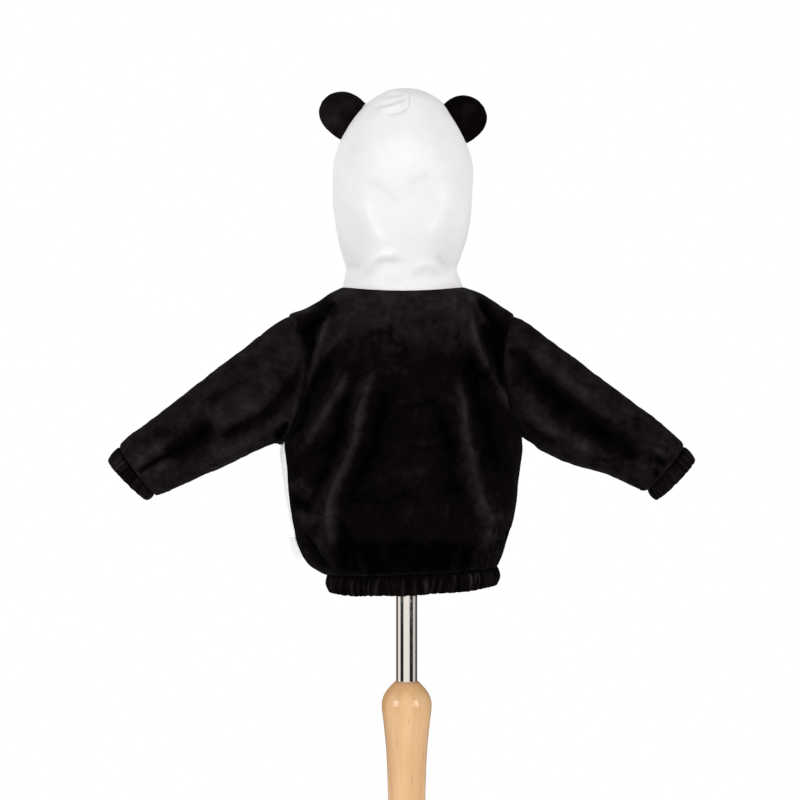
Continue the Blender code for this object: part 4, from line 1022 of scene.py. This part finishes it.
CROWN_SEAM_DEPTH = 0.7
CROWN_SEAM_START = 570.0
NECK_SEAM_TOP = 390.0
RAY_ENDS = (20.0, 230.0)
RAY_HALVINGS = 32

# %% Folds of the hood: height, half width, lean, line (across, up)
HOOD_FOLDS = (
    (-3.4, 3, 0, ((36, 579), (16, 582), (-8, 591))),
    (-3, 2.6, 0, ((19, 567), (3, 571), (-9, 577))),
    (-2.4, 2.8, 0, ((22, 591), (6, 594), (-6, 595))),
    (1.8, 4, 0, ((28, 572), (12, 575), (-3, 581))),
    (-2.6, 7, 0, ((47, 485), (30, 482), (16, 471), (2, 456))),
    (2.2, 9, 0.3, ((44, 474), (36, 444), (18, 414))),
    (-2, 6, 0, ((-8, 479), (-20, 488), (-37, 493))),
    (2, 9, -0.3, ((-52, 494), (-49, 458), (-26, 420))),
    (-3, 5, 0, ((54, 376), (40, 385), (24, 394), (-5, 397))),
    (2.2, 5, 0, ((44, 387), (26, 404), (2, 408))),
    (-3, 5, 0, ((-9, 376), (-28, 384), (-54, 382))),
    (2, 5, 0, ((-14, 392), (-30, 396), (-44, 394))),
    (-2.6, 5, 0, ((-39, 405), (-50, 394), (-60, 386))),
    (-2, 5, 0, ((64, 396), (56, 392), (48, 391))),
    (-1.2, 4, 0, ((23, 377), (10, 373), (-3, 375))),
)
HOOD_FRONT_FOLDS = (
    (-2.4, 6, 0, ((58, 400), (50, 392), (36, 388))),
    (-2.4, 6, 0, ((-60, 402), (-50, 393), (-38, 390))),
    (2, 7, 0, ((64, 430), (58, 410), (40, 400))),
    (2, 7, 0, ((-66, 432), (-58, 412), (-42, 402))),
    (-2, 8, 0, ((72, 520), (70, 480), (62, 440))),
    (-2, 8, 0, ((-72, 524), (-72, 484), (-64, 442))),
)

# %% Rays from the middle of the head to the hood's surface
def on_hood(aims):
    """Points of the hood's outside, straightened to the middle, in the directions of aims."""
    ways = unit(np.asarray(aims, float) - HEAD_CENTRE)
    near, far = (np.full(ways.shape[:-1], end) for end in RAY_ENDS)
    for _ in range(RAY_HALVINGS):
        middle = 0.5 * (near + far)
        x, y, z = np.moveaxis(HEAD_CENTRE + ways * middle[..., None], -1, 0)
        half = np.maximum(read(HOOD, "half_width", z), 1e-6)
        deep = np.where(y >= 0.0, read(HOOD, "back", z), read(HOOD, "front", z))
        level = (np.abs(x) / half) ** ROUNDNESS + (np.abs(y) / np.maximum(deep, 1e-6)) ** ROUNDNESS
        outside = (z > HOOD_TOP) | (level > 1.0)
        near, far = np.where(outside, near, middle), np.where(outside, middle, far)
    return HEAD_CENTRE + ways * near[..., None]


def lean_to_middle(points):
    """Put straightened hood points back beside the hood's own middle line."""
    moved = np.array(points, float)
    moved[..., 0] += read(HOOD, "centre", moved[..., 2])
    return moved


def middle_line(degrees):
    """Hood points on the centre seam; 0 degrees is straight back and 90 straight up."""
    turn = np.radians(degrees)
    return on_hood(np.stack((0.0 * turn, 100.0 * np.cos(turn), HOOD_MIDDLE + 100.0 * np.sin(turn)), axis=-1))


def face_edge(share, forehead, chin):
    """Hood points on the edge of the face opening, from the chin (0) to the forehead (1)."""
    width = FACE_HALF_WIDTH * np.maximum(np.sin(math.pi * share), 0.0) ** FACE_FULLNESS
    height = chin[2] + (forehead[2] - chin[2]) * (0.5 - 0.5 * np.cos(math.pi * share))
    return on_hood(np.stack((width, 0.0 * width - FACE_DEPTH, height), axis=-1))

# %% The two halves of the hood
def hood_neck_loop(side):
    """Neckline points from the middle of the back round one side to the middle of the front, and their shares."""
    back = len(back_share) // 2
    front = len(front_share) // 2
    if side > 0:
        loop = np.concatenate((back_points[-1, back::-1], front_points[-1, :front - 1:-1][1:]))
        share = np.concatenate((0.5 - back_share[back::-1], 0.5 + (1.0 - front_share[:front - 1:-1][1:])))
    else:
        loop = np.concatenate((back_points[-1, back:], front_points[-1, 1:front + 1]))
        share = np.concatenate((back_share[back:] - 0.5, 0.5 + front_share[1:front + 1]))
    return loop, share

# %% One half
def hood_half(side, seed):
    """Grid of one hood half (columns from the back to the face, rows up to the crown), its ways out, its painted
    light.
    """
    neck, u = hood_neck_loop(side)
    neck = neck.copy()
    neck[:, 0] = np.abs(neck[:, 0] - read(HOOD, "centre", neck[:, 2]))
    nape, chin = neck[0], neck[-1]
    forehead = middle_line(np.array(FOREHEAD_ANGLE))
    nape_angle = math.degrees(math.atan2(nape[2] - HOOD_MIDDLE, nape[1]))
    v = spread_out(HOOD_SPANS, (0.0, 0.002, 0.0045, 0.008, 0.0125))
    back = middle_line(nape_angle + (CROWN_ANGLE - nape_angle) * v)
    top = middle_line(CROWN_ANGLE + (FOREHEAD_ANGLE - CROWN_ANGLE) * u)
    face = face_edge(v, forehead, chin)
    face[0], face[-1] = chin, forehead
    # Blend the four edges into a patch, then press it onto the hood's surface.
    a, b = u[None, :, None], v[:, None, None]
    cross = (1 - a) * (1 - b) * nape + a * (1 - b) * chin + (1 - a) * b * back[-1] + a * b * forehead
    flat = on_hood((1 - b) * neck[None] + b * top[None] + (1 - a) * back[:, None] + a * face[:, None] - cross)
    flat[0], flat[:, 0], flat[-1], flat[:, -1] = neck, back, top, face
    flat[0, 0] = nape
    flat[..., 0] *= side
    flat = lean_to_middle(flat)
    x, y, z = np.moveaxis(flat, -1, 0)
    # The seam over the crown is pulled a little to one side.
    pulled = ease((600.0 - z) / 6.0) * ease((z - 560.0) / 14.0) * ease(y / 20.0) * bell(x / 28.0)
    x = x - CROWN_SEAM_JOG * pulled
    flat[..., 0] = x
    normals = grid_normals(flat, False, -side)
    # On the seam itself both halves face straight back.
    normals[:, 0, 0] = 0.0
    normals[:, 0] = unit(normals[:, 0])
    relief = all_folds(HOOD_FOLDS, x, z) * ease(y / 30.0)
    relief += all_folds(HOOD_FRONT_FOLDS, x, z) * ease(-y / 20.0)
    relief += 0.5 * unevenness(flat, 52.0, seed) + 0.12 * unevenness(flat, 18.0, seed + 1)
    away = edge_distances(flat, False)
    # Below the crown the seam down the back is pressed flat, so the relief runs on over it.
    away["first_column"] = away["first_column"] + 20.0 * ease((576.0 - z) / 12.0)
    nearest = np.minimum.reduce(list(away.values()))
    relief = relief * ease(nearest / 7.0 + 0.05) * ease(nearest / 2.0)
    # Painted light on the crests and painted shade in the creases of the hood.
    painted_light_and_mottle = 0.5 + relief / 5.0
    relief -= 0.5 * bell(away["last_column"] - FACE_HEM)
    return flat + normals * relief[..., None], normals, painted_light_and_mottle


hood_grid, hood_out, hood_painted_light = {}, {}, {}
for name, side in (("left", 1), ("right", -1)):
    hood_grid[name], hood_out[name], hood_painted_light[name] = hood_half(side, HOOD_SEED)
    note_seams(hood_grid[name], False, -side)
print("hood grid:", hood_grid["left"].shape[:2])

# %% [markdown]
# Now that every edge knows its neighbour, the pieces get their thickness. Both sides of a seam roll under in
# the same direction, so no light shows between them.

# %% Thickness of the body, the sleeves and the hood
back_cloth = cloth("back_velour", back_points, False, 1.0, black_velour, painted_light_and_mottle=back_painted_light_and_mottle)
# The white front uses its painted light and mottle, kept towards the light end of its tones.
front_cloth = cloth("front_velour", front_points, False, 1.0, white_velour, painted_light_and_mottle=0.75 + 0.4 * front_painted_light_and_mottle)
sleeve_cloth = {}
hood_cloth = {}
for name, side in (("left", 1), ("right", -1)):
    points, painted_light_and_mottle = sleeve_grid[name]
    sleeve_cloth[name] = cloth(f"sleeve_velour_{name}", points, True, -side, black_velour, painted_light_and_mottle=painted_light_and_mottle)
    height = hood_grid[name][..., 2]
    crown_seam = CROWN_SEAM_DEPTH * ease((height - CROWN_SEAM_START) / 10.0)
    hood_cloth[name] = cloth(f"hood_velour_{name}", hood_grid[name], False, -side, white_velour, CLOTH_THICKNESS,
                             np.where(height > NECK_SEAM_TOP, crown_seam, CROWN_SEAM_DEPTH), 2.4, hood_painted_light[name])

# %% [markdown]
# Each ear is two rounds of black velour sewn together and stuffed, then sewn to the hood by its open base. Rings
# from the base to the tip give the rounded outline, and the edge seam pulls in a fine groove all round.

# %% Sizes of the ears: middle of the base (across, up), lean from upright, half width, height, half thickness
EAR_LEFT = (55.5, 566.0, 56.5, 27.6, 47.0, 10.5)
EAR_RIGHT = (-61.0, 563.0, -59.0, 28.2, 43.5, 10.5)
EAR_Y = 15.0
EAR_GAP = 0.7
EAR_OUTLINE = table(
    "rise width thickness",
    (0.00, 0.93, 0.92),
    (0.12, 0.99, 1.00),
    (0.30, 1.03, 1.04),
    (0.48, 1.00, 1.02),
    (0.64, 0.91, 0.92),
    (0.78, 0.75, 0.76),
    (0.89, 0.55, 0.56),
    (0.96, 0.33, 0.34),
    (1.00, 0.00, 0.00),
)
EAR_FOOT_SHARES = (0.3, 0.6, 0.85, 1.0)
EAR_RINGS = 44
EAR_POINTS = 72
EAR_SEAM_DEPTH = 0.9
EAR_SEAM_WIDTH = 0.085
EAR_BLEND = 0.10
BACKWARDS = np.array((0.0, 1.0, 0.0))

# %% The ears
def ear_foot(foot, along, half_width, half_thickness, turns):
    """Points of the ear's base laid on the hood, one gap off it."""
    aim = foot + along * (half_width * np.cos(turns))[..., None]
    aim = aim + BACKWARDS * (half_thickness * np.sin(turns))[..., None]
    aim[..., 0] -= read(HOOD, "centre", aim[..., 2])
    flat = on_hood(aim)
    return lean_to_middle(flat + unit(flat - HEAD_CENTRE) * EAR_GAP)

# %% An ear from its base to its tip
def ear(name, sizes, side, seed):
    """A padded ear: base laid on the hood, rounded sides, edge seam."""
    base_x, base_z, lean, half_width, height, half_thickness = sizes
    tilt = math.radians(lean)
    out = np.array((math.sin(tilt), 0.0, math.cos(tilt)))
    along = np.array((math.cos(tilt), 0.0, -math.sin(tilt))) * side
    foot = np.array((base_x, EAR_Y, base_z))
    turns = circle(EAR_POINTS)
    rise = 1.0 - (1.0 - np.linspace(0.0, 1.0, EAR_RINGS + 1)[:-1]) ** 1.7
    rise[0] = 0.0
    wide = half_width * read(EAR_OUTLINE, "width", rise)
    thick = half_thickness * read(EAR_OUTLINE, "thickness", rise)
    rings = [ear_foot(foot, along, wide[0] * s, thick[0] * s, turns) for s in EAR_FOOT_SHARES]
    base = rings.pop()
    groove = bell(np.sin(turns) / EAR_SEAM_WIDTH)
    # Rings up the ear: the first ones blend out of the base, and the edge seam pulls each one in.
    for up, half, deep in zip(rise, wide, thick):
        flattened = 1.0 - 0.09 * np.maximum(np.cos(turns), 0.0) * math.sin(math.pi * up)
        spread = (flattened * np.cos(turns))[:, None] * along * half
        spread = spread + np.sin(turns)[:, None] * BACKWARDS * deep
        level = foot + out * (up * height) + spread
        if up < EAR_BLEND:
            level = base + (level - base) * ease(up / EAR_BLEND)
        pull = EAR_SEAM_DEPTH * groove * ease(half / half_width / 0.3)
        rings.append(level - unit(spread) * pull[:, None])
    rings = np.array(rings)
    rings[4:] += 0.35 * unevenness(rings[4:], 16.0, seed)[..., None] * BACKWARDS
    heel = ear_foot(foot, along, 0.0, 0.0, turns[:1])[0]
    made, points = stacked_rings(name, rings, heel, foot + out * (height - 0.4), black_velour)
    # Painted light on the ear: the left ear a little lighter than the right, with a faint random mottle.
    add_painted_light(made, 0.42 + 0.08 * side + 0.06 * unevenness(points, 26.0, seed + 5))
    return made


ear_left = ear("ear_pad_left", EAR_LEFT, 1, 3)
ear_right = ear("ear_pad_right", EAR_RIGHT, -1, 4)

# %% [markdown]
# A blank folded ribbon stands out of the left side seam near the hem. It is woven satin, so its finish is a fine
# plain weave with a slight gloss: two sets of waves that cross, one for each direction of thread.

# %% Ribbon weave
def ribbon_finish():
    finish, tree, shader, where = new_finish("white woven ribbon")
    threads = [add(tree, "ShaderNodeTexWave", {"Vector": where, "Scale": 500.0, "Distortion": 0.4}, "Fac",
                   bands_direction=direction) for direction in ("X", "Z")]
    weave = add(tree, "ShaderNodeMath", dict(enumerate(threads)), operation="MULTIPLY")
    fill(tree, shader, {
        "Base Color": ramp(tree, weave, (0.0, (0.93, 0.93, 0.92)), (0.6, (0.97, 0.97, 0.96))),
        "Roughness": 0.5,
        "Specular IOR Level": 0.35,
        "Normal": bump(tree, (weave, 0.06, 0.0002)),
    })
    return finish


white_ribbon = ribbon_finish()

# %% The folded label
LABEL_BOTTOM = 47.0
LABEL_TOP = 73.0
LABEL_REACH = 10.4
LABEL_REACH_TOP = 7.2
LABEL_THICKNESS = 1.4
LABEL_ROOT_GAP = 0.8
RIBBON_THICKNESS = 0.4

# %% Folding the label
def side_label():
    """Folded ribbon standing out of the left side seam: a loop that is open at the seam and round at its tip."""
    heights = np.linspace(LABEL_BOTTOM, LABEL_TOP, 27)
    edge = back_points[:LOWER_ROWS + 1, 0]
    normals = grid_normals(back_points, False, 1.0)[:LOWER_ROWS + 1, 0]
    half = 0.5 * LABEL_THICKNESS
    bend = np.linspace(-0.5 * math.pi, 0.5 * math.pi, 9)
    rows = []
    for height, farthest in zip(heights, np.linspace(LABEL_REACH, LABEL_REACH_TOP, len(heights))):
        straight = np.linspace(LABEL_ROOT_GAP, farthest - half, 10)[:-1]
        reach = np.concatenate((straight, farthest - half + half * np.cos(bend), straight[::-1]))
        aside = np.concatenate((0.0 * straight - half, half * np.sin(bend), 0.0 * straight + half))
        root, way = (np.array([np.interp(height, edge[:, 2], line[:, k]) for k in range(2)] + [last])
                     for line, last in ((edge, height), (normals, 0.0)))
        way = unit(way)
        side = np.array((-way[1], way[0], 0.0))
        curl = 0.6 * math.sin((height - LABEL_BOTTOM) / 8.0) * (reach / LABEL_REACH) ** 2 - 0.5 * reach
        rows.append(root + way * reach[:, None] + side * (aside + curl)[:, None])
    return cloth("side_label_ribbon", np.array(rows), False, 1.0, white_ribbon, RIBBON_THICKNESS, 0.1, 0.3)


label = side_label()

# %% [markdown]
# Inside the hoodie stands a smooth form without arms: a body, a neck and an egg-shaped head with no features,
# usually moulded and painted a matt cream. Only its face side shows, through the hood's opening, and its
# flat underside from below. Smooth rings through a table of sizes are enough for it.

# %% Sizes of the dress form: height, half width, back, front
FORM_BOTTOM = 46.0
FORM_TOP = 605.0
FORM = (
    (FORM_BOTTOM, 79, 55, 54),
    (48, 83, 59, 58),
    (54, 86, 62, 61),
    (85, 92, 68, 66),
    (130, 98, 73, 70),
    (200, 105, 79, 77),
    (255, 109, 80, 80),
    (300, 110, 75, 76),
    (325, 109, 67, 69),
    (340, 103, 61, 64),
    (350, 90, 55, 58),
    (357, 76, 50, 53),
    (364, 60, 46, 48),
    (372, 47, 42, 43),
    (386, 42, 40, 41),
    (400, 44, 43, 46),
    (414, 53, 53, 55),
    (435, 64, 66, 66),
    (465, 72, 79, 73),
    (500, 75.5, 85, 76),
    (530, 72.5, 83, 74),
    (556, 64, 74, 67),
    (577, 52, 60, 57),
    (592, 37, 43, 41),
    (601, 22, 25, 24),
    (FORM_TOP - 1.0, 12, 13, 13),
)

# %% The dress form
def cream_finish():
    finish, tree, shader, where = new_finish("matt cream form")
    fill(tree, shader, {
        "Base Color": ramp(tree, noise(tree, where, 9.0, 3.0), (0.3, (0.74, 0.70, 0.63)), (0.7, (0.80, 0.76, 0.70))),
        "Roughness": 0.55,
        "Normal": bump(tree, (noise(tree, where, 420.0, 2.0), 0.12, 0.0004)),
    })
    return finish


def form_rings(count=72, rows=110):
    """Rings of the dress form from its flat underside to the top of the head."""
    sizes = np.array(FORM, float)
    place = distances(sizes[:, :2])
    at = np.concatenate((np.linspace(0.0, place[3], 10)[:-1], np.linspace(place[3], place[-1], rows)))
    height, half_width, back, front = (steady_curve(place, sizes[:, k], at)[:, None] for k in range(4))
    turns = circle(count)[None, :]
    depth = np.where(np.sin(turns) >= 0.0, back, front)
    return np.stack((FORM_X + half_width * np.cos(turns), depth * np.sin(turns), height + 0.0 * turns), axis=-1)


form, _ = stacked_rings("form_body", form_rings(), np.array((FORM_X, 0.0, FORM_BOTTOM)),
                        np.array((FORM_X, 0.0, FORM_TOP)), cream_finish())

# %% [markdown]
# The stand is a chrome tube that slides into a turned beech column on a round base. Turned work is made the way
# a lathe makes it: one profile swept round an axis. The corners are rounded in the profile itself.

# %% Sizes of the stand: profiles are radius and drop from the piece's top
POLE_RADIUS = 12.6
POLE_EDGE = 0.8
COLUMN_TOP = -102.0
COLUMN_PROFILE = (
    (14.6, 0),
    (17.6, 3.2),
    (21.5, 7.5),
    (25.6, 13),
    (28.4, 19),
    (29.9, 26),
    (29.8, 32),
    (28.6, 42),
    (26.6, 60),
    (24.6, 82),
    (23.1, 112),
    (22.3, 150),
    (22.8, 230),
    (25.5, 280),
    (30, 312),
    (36, 327),
)
BASE_HEIGHT = 24.0
BASE_RADIUS = 145.0
BASE_PROFILE = (
    (BASE_RADIUS - 14.0, 0.0),
    (BASE_RADIUS - 6.0, 3.0),
    (BASE_RADIUS - 1.0, 9.0),
    (BASE_RADIUS, 15.0),
    (BASE_RADIUS - 1.0, 21.0),
    (BASE_RADIUS - 3.0, BASE_HEIGHT),
)

# %% Chrome and beech
def chrome_finish():
    finish, tree, shader, where = new_finish("polished chrome")
    handled = noise(tree, where, 60.0, 3.0)
    handled = add(tree, "ShaderNodeMapRange", {"Value": handled, "To Min": 0.03, "To Max": 0.10})
    fill(tree, shader, {"Base Color": (0.86, 0.86, 0.87, 1.0), "Metallic": 1.0, "Roughness": handled})
    return finish


def beech_finish():
    """Light beech under satin varnish: long soft grain and the short dark flecks of the wood's rays."""
    finish, tree, shader, where = new_finish("varnished light beech")
    grain = noise(tree, where, 60.0, 4.0, 0.6, (1.0, 1.0, 0.06))
    tone = ramp(tree, grain, (0.3, (0.58, 0.308, 0.134)), (0.5, (0.655, 0.377, 0.170)), (0.72, (0.72, 0.448, 0.226)))
    flecks = noise(tree, where, 420.0, 1.0, 0.5, (1.0, 1.0, 0.09))
    mask = ramp(tree, flecks, (0.735, (0.0, 0.0, 0.0)), (0.78, (1.0, 1.0, 1.0)))
    fill(tree, shader, {
        "Base Color": add(tree, "ShaderNodeMix", {0: mask, 6: tone, 7: (0.30, 0.17, 0.08, 1.0)}, 2, data_type="RGBA"),
        "Roughness": 0.45,
        "Coat Weight": 0.6,
        "Coat Roughness": 0.11,
        "Normal": bump(tree, (flecks, 0.08, 0.0003)),
    })
    return finish

# %% Turning the stand's pieces
def turned(name, profile, material, segments=96, rows=90):
    """Solid turned round the stand's axis from a profile of (radius, height), from the top down."""
    profile = np.array(profile, float)
    place = distances(profile)
    at = np.unique(np.concatenate((np.linspace(0.0, place[-1], rows), place)))
    radius, height = (steady_curve(place, profile[:, k], at)[:, None] for k in range(2))
    turns = circle(segments)[None, :]
    rings = np.stack((STAND_X + radius * np.cos(turns), radius * np.sin(turns), height + 0.0 * turns), axis=-1)
    ends = [np.array((STAND_X, 0.0, profile[k, 1])) for k in (0, -1)]
    return stacked_rings(name, rings, ends[0], ends[1], material)[0]


light_beech = beech_finish()
pole_top = FORM_BOTTOM - GAP
pole_bottom = COLUMN_TOP + GAP
pole_profile = ((POLE_RADIUS - POLE_EDGE, pole_top), (POLE_RADIUS, pole_top - POLE_EDGE),
                (POLE_RADIUS, 0.5 * (pole_top + pole_bottom)), (POLE_RADIUS, pole_bottom + POLE_EDGE),
                (POLE_RADIUS - POLE_EDGE, pole_bottom))
pole = turned("pole_chrome", pole_profile, chrome_finish())
column_profile = [(radius, COLUMN_TOP - drop) for radius, drop in COLUMN_PROFILE]
column_profile.append((COLUMN_PROFILE[-1][0], BASE_HEIGHT + GAP - HEM_ABOVE_FLOOR))
column = turned("column_beech", column_profile, light_beech)
base_profile = [(radius, BASE_HEIGHT - drop - HEM_ABOVE_FLOOR) for radius, drop in BASE_PROFILE]
base = turned("base_beech", base_profile, light_beech)

# %% [markdown]
# The hem of the face opening is turned in and held by a row of stitches. A stitch repeats along a line, so
# Geometry Nodes place it: the line is cut into equal steps, one small thread bead is laid along each step, and
# the beads become a plain mesh at the end. The sizes are named inputs, so the same tree can sew any line.

# %% A sewing machine in Geometry Nodes
def sewing_tree():
    tree = bpy.data.node_groups.new("sew along a line", "GeometryNodeTree")
    for name, kind, value in (("Geometry", "Geometry", None), ("Step", "Float", 0.003),
                              ("Stitch length", "Float", 0.0022), ("Thread radius", "Float", 0.0003),
                              ("Thread", "Material", None)):
        made = tree.interface.new_socket(name, in_out="INPUT", socket_type="NodeSocket" + kind)
        if value:
            made.default_value = value
    tree.interface.new_socket("Geometry", in_out="OUTPUT", socket_type="NodeSocketGeometry")
    given = tree.nodes.new("NodeGroupInput").outputs
    line = add(tree, "GeometryNodeMeshToCurve", {"Mesh": given["Geometry"]})
    steps = add(tree, "GeometryNodeResampleCurve", {"Curve": line, "Length": given["Step"]}, mode="LENGTH")
    bead = add(tree, "GeometryNodeMeshUVSphere", {"Segments": 6, "Rings": 5, "Radius": 1.0})
    half = add(tree, "ShaderNodeMath", {0: given["Stitch length"], 1: 0.5}, operation="MULTIPLY")
    thin = given["Thread radius"]
    size = add(tree, "ShaderNodeCombineXYZ", {"X": thin, "Y": thin, "Z": half})
    shaped = add(tree, "GeometryNodeTransform", {"Geometry": bead, "Scale": size})
    tangent = add(tree, "GeometryNodeInputTangent", {})
    aim = add(tree, "FunctionNodeAlignRotationToVector", {"Vector": tangent}, axis="Z")
    laid = add(tree, "GeometryNodeInstanceOnPoints", {"Points": steps, "Instance": shaped, "Rotation": aim})
    real = add(tree, "GeometryNodeRealizeInstances", {"Geometry": laid})
    painted = add(tree, "GeometryNodeSetMaterial", {"Geometry": real, "Material": given["Thread"]})
    fill(tree, tree.nodes.new("NodeGroupOutput"), {"Geometry": painted})
    return tree

# %% Sewing along lines
def sew(name, lines, tree, thread, **sizes):
    """Lay stitches along lines of points (millimetres above the hem) and return them as a plain mesh object."""
    starts = np.cumsum([0] + [len(line) for line in lines])
    edges = [(k, k + 1) for start, end in zip(starts, starts[1:]) for k in range(start, end - 1)]
    mesh = bpy.data.meshes.new(name)
    mesh.from_pydata(lifted(np.concatenate(lines)), edges, [])
    guide = place_object(name + "_guide", mesh)
    machine = guide.modifiers.new("sewing", "NODES")
    machine.node_group = tree
    wanted = {"Thread": thread, **{key.replace("_", " ").capitalize(): value for key, value in sizes.items()}}
    for item in tree.interface.items_tree:
        if item.in_out == "INPUT" and item.name in wanted:
            machine[item.identifier] = wanted[item.name]
    sewn = bpy.data.meshes.new_from_object(guide.evaluated_get(bpy.context.evaluated_depsgraph_get()))
    bpy.data.objects.remove(guide, do_unlink=True)
    sewn.name = name
    print(f"{name}: {len(sewn.polygons)} faces")
    return place_object(name, sewn)


def thread_finish(name, colour):
    finish, tree, shader, where = new_finish(name)
    darker = tuple(0.8 * c for c in colour)
    fill(tree, shader, {"Base Color": ramp(tree, noise(tree, where, 1500.0, 2.0), (0.35, darker), (0.65, colour)),
                        "Roughness": 0.6})
    return finish

# %% Stitches round the face opening
def face_stitch_line(name):
    """Points a hem's width in from the face edge of one hood half, just proud of the cloth."""
    grid, out = hood_grid[name], hood_out[name]
    away = edge_distances(grid, False)["last_column"]
    line = []
    for row in range(4, len(grid) - 4):
        column = np.interp(FACE_HEM, away[row][::-1], np.arange(grid.shape[1])[::-1])
        low = int(column)
        part = column - low
        point = grid[row, low] * (1.0 - part) + grid[row, low + 1] * part
        line.append(point + out[row, low] * 0.25)
    return np.array(line)


white_thread = thread_finish("white thread", (0.82, 0.82, 0.81))
face_stitches = sew("face_stitches", [face_stitch_line(name) for name in ("left", "right")], sewing_tree(),
                    white_thread, step=0.0034, stitch_length=0.0026, thread_radius=0.00032)

# %% [markdown]
# A studio photograph of black cloth needs large soft lights from the sides, so that the pile glows along the
# crests, and a bright white backdrop. The camera stands straight behind the hoodie at chest height.

# %% Floor
def floor_finish():
    finish, tree, shader, where = new_finish("pale studio floor")
    paper = ramp(tree, noise(tree, where, 3.0, 2.0), (0.3, (0.90, 0.90, 0.90)), (0.7, (0.93, 0.93, 0.93)))
    fill(tree, shader, {"Base Color": paper, "Roughness": 0.8})
    return finish


FLOOR_HALF = 0.85
floor_mesh = bpy.data.meshes.new("studio_floor")
floor_mesh.from_pydata([(x * FLOOR_HALF, y * FLOOR_HALF, 0.0) for x, y in ((-1, -1), (1, -1), (1, 1), (-1, 1))], [],
                       [(0, 1, 2, 3)])
floor_mesh.materials.append(floor_finish())
floor = place_object("studio_floor", floor_mesh)

# %% Lights and camera
CHEST = (0.0, 0.0, 0.72)


def soft_light(name, place, width, height, watts):
    """A large rectangular studio light that points at the chest."""
    data = bpy.data.lights.new(name, "AREA")
    data.shape = "RECTANGLE"
    data.size, data.size_y = width, height
    data.energy = watts
    light = place_object(name, data)
    light.location = place
    way = np.array(CHEST, float) - np.array(place, float)
    yaw = math.atan2(way[1], way[0]) - math.pi / 2.0
    pitch = math.atan2(math.hypot(way[0], way[1]), -way[2])
    light.rotation_euler = (pitch, 0.0, yaw)
    return light


soft_light("light_left", (2.12, 1.66, 1.0), 1.1, 1.5, 36.0)
soft_light("light_right", (-2.02, 1.87, 0.95), 1.0, 1.5, 37.0)
soft_light("light_top", (0.0, 0.7, 2.5), 1.4, 1.0, 3.0)
soft_light("light_front", (0.6, -2.1, 1.5), 1.6, 1.6, 30.0).visible_glossy = False

lens = bpy.data.cameras.new("camera_behind")
lens.lens = 82.5
lens.sensor_width = 36.0
camera = place_object("camera_behind", lens)
camera.location = (0.0018, 2.2, 0.690)
camera.rotation_euler = (math.radians(90.0), 0.0, math.radians(180.0))
bpy.context.scene.camera = camera
bpy.context.scene.view_settings.view_transform = "Standard"
print("lights:", len(bpy.data.lights), "camera:", camera.name)

# %% The studio round the object
# What chrome reflects, by bearing; 0.5 is the wall behind the camera.
DARK, DIM, CREAM, GREY = (0.012, 0.011, 0.010), (0.075, 0.07, 0.06), (0.92, 0.86, 0.77), (0.66, 0.63, 0.58)
REFLECTED_WALLS = (
    (0.0, DARK), (0.19, DIM), (0.205, GREY), (0.29, GREY), (0.305, DARK), (0.405, DARK), (0.42, CREAM),
    (0.59, CREAM), (0.605, DARK), (0.695, DARK), (0.71, CREAM), (0.80, CREAM), (0.815, DIM), (1.0, DARK),
)
WHITE = (1.0, 1.0, 1.0, 1.0)


def studio_world():
    """White to the camera, dimmer as light, and bright and dark walls for what shines to reflect."""
    world = bpy.data.worlds.new("white studio")
    bpy.context.scene.world = world
    world.use_nodes = True
    tree = world.node_tree
    tree.nodes.clear()
    paths = tree.nodes.new("ShaderNodeLightPath").outputs
    parts = tree.nodes.new("ShaderNodeSeparateXYZ")
    fill(tree, parts, {"Vector": add(tree, "ShaderNodeTexCoord", {}, "Generated")})
    bearing = add(tree, "ShaderNodeMath", {0: parts.outputs["X"], 1: parts.outputs["Y"]}, operation="ARCTAN2")
    turn = add(tree, "ShaderNodeMapRange", {"Value": bearing, "From Min": -math.pi, "From Max": math.pi})
    mirror = add(tree, "ShaderNodeBackground", {"Color": ramp(tree, turn, *REFLECTED_WALLS)})
    room = add(tree, "ShaderNodeBackground", {"Color": WHITE, "Strength": 0.54})
    white = add(tree, "ShaderNodeBackground", {"Color": WHITE, "Strength": 1.0})
    lit = add(tree, "ShaderNodeMixShader", {0: paths["Is Glossy Ray"], 1: room, 2: mirror})
    seen = add(tree, "ShaderNodeMixShader", {0: paths["Is Camera Ray"], 1: lit, 2: white})
    fill(tree, tree.nodes.new("ShaderNodeOutputWorld"), {"Surface": seen})


studio_world()

# %% [markdown]
# Last, each visible piece is attached to the body it moves with, and the plain solid it stands for is hidden.

# %% What each piece stands for
REPLACED = (
    (back_cloth, "black_velour", "back_panel"),
    (front_cloth, "white_velour", "front_panel"),
    (sleeve_cloth["left"], "black_velour", "sleeve_left"),
    (sleeve_cloth["right"], "black_velour", "sleeve_right"),
    (cuff_cloth["left"], "black_velour", "cuff_left"),
    (cuff_cloth["right"], "black_velour", "cuff_right"),
    (hem_cloth, "black_velour", "hem_band"),
    (hood_cloth["left"], "white_velour", "hood_left"),
    (hood_cloth["right"], "white_velour", "hood_right"),
    (ear_left, "black_velour", "ear_left"),
    (ear_right, "black_velour", "ear_right"),
    (label, "white_ribbon", "side_label"),
    (form, "cream_form", "dress_form"),
    (pole, "chrome", "stand_pole"),
    (column, "light_beech", "stand_column"),
    (base, "light_beech", "stand_base"),
)
for piece, finish_slot, solid in REPLACED:
    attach(piece, "root")
    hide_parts(solid)
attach(face_stitches, "root")
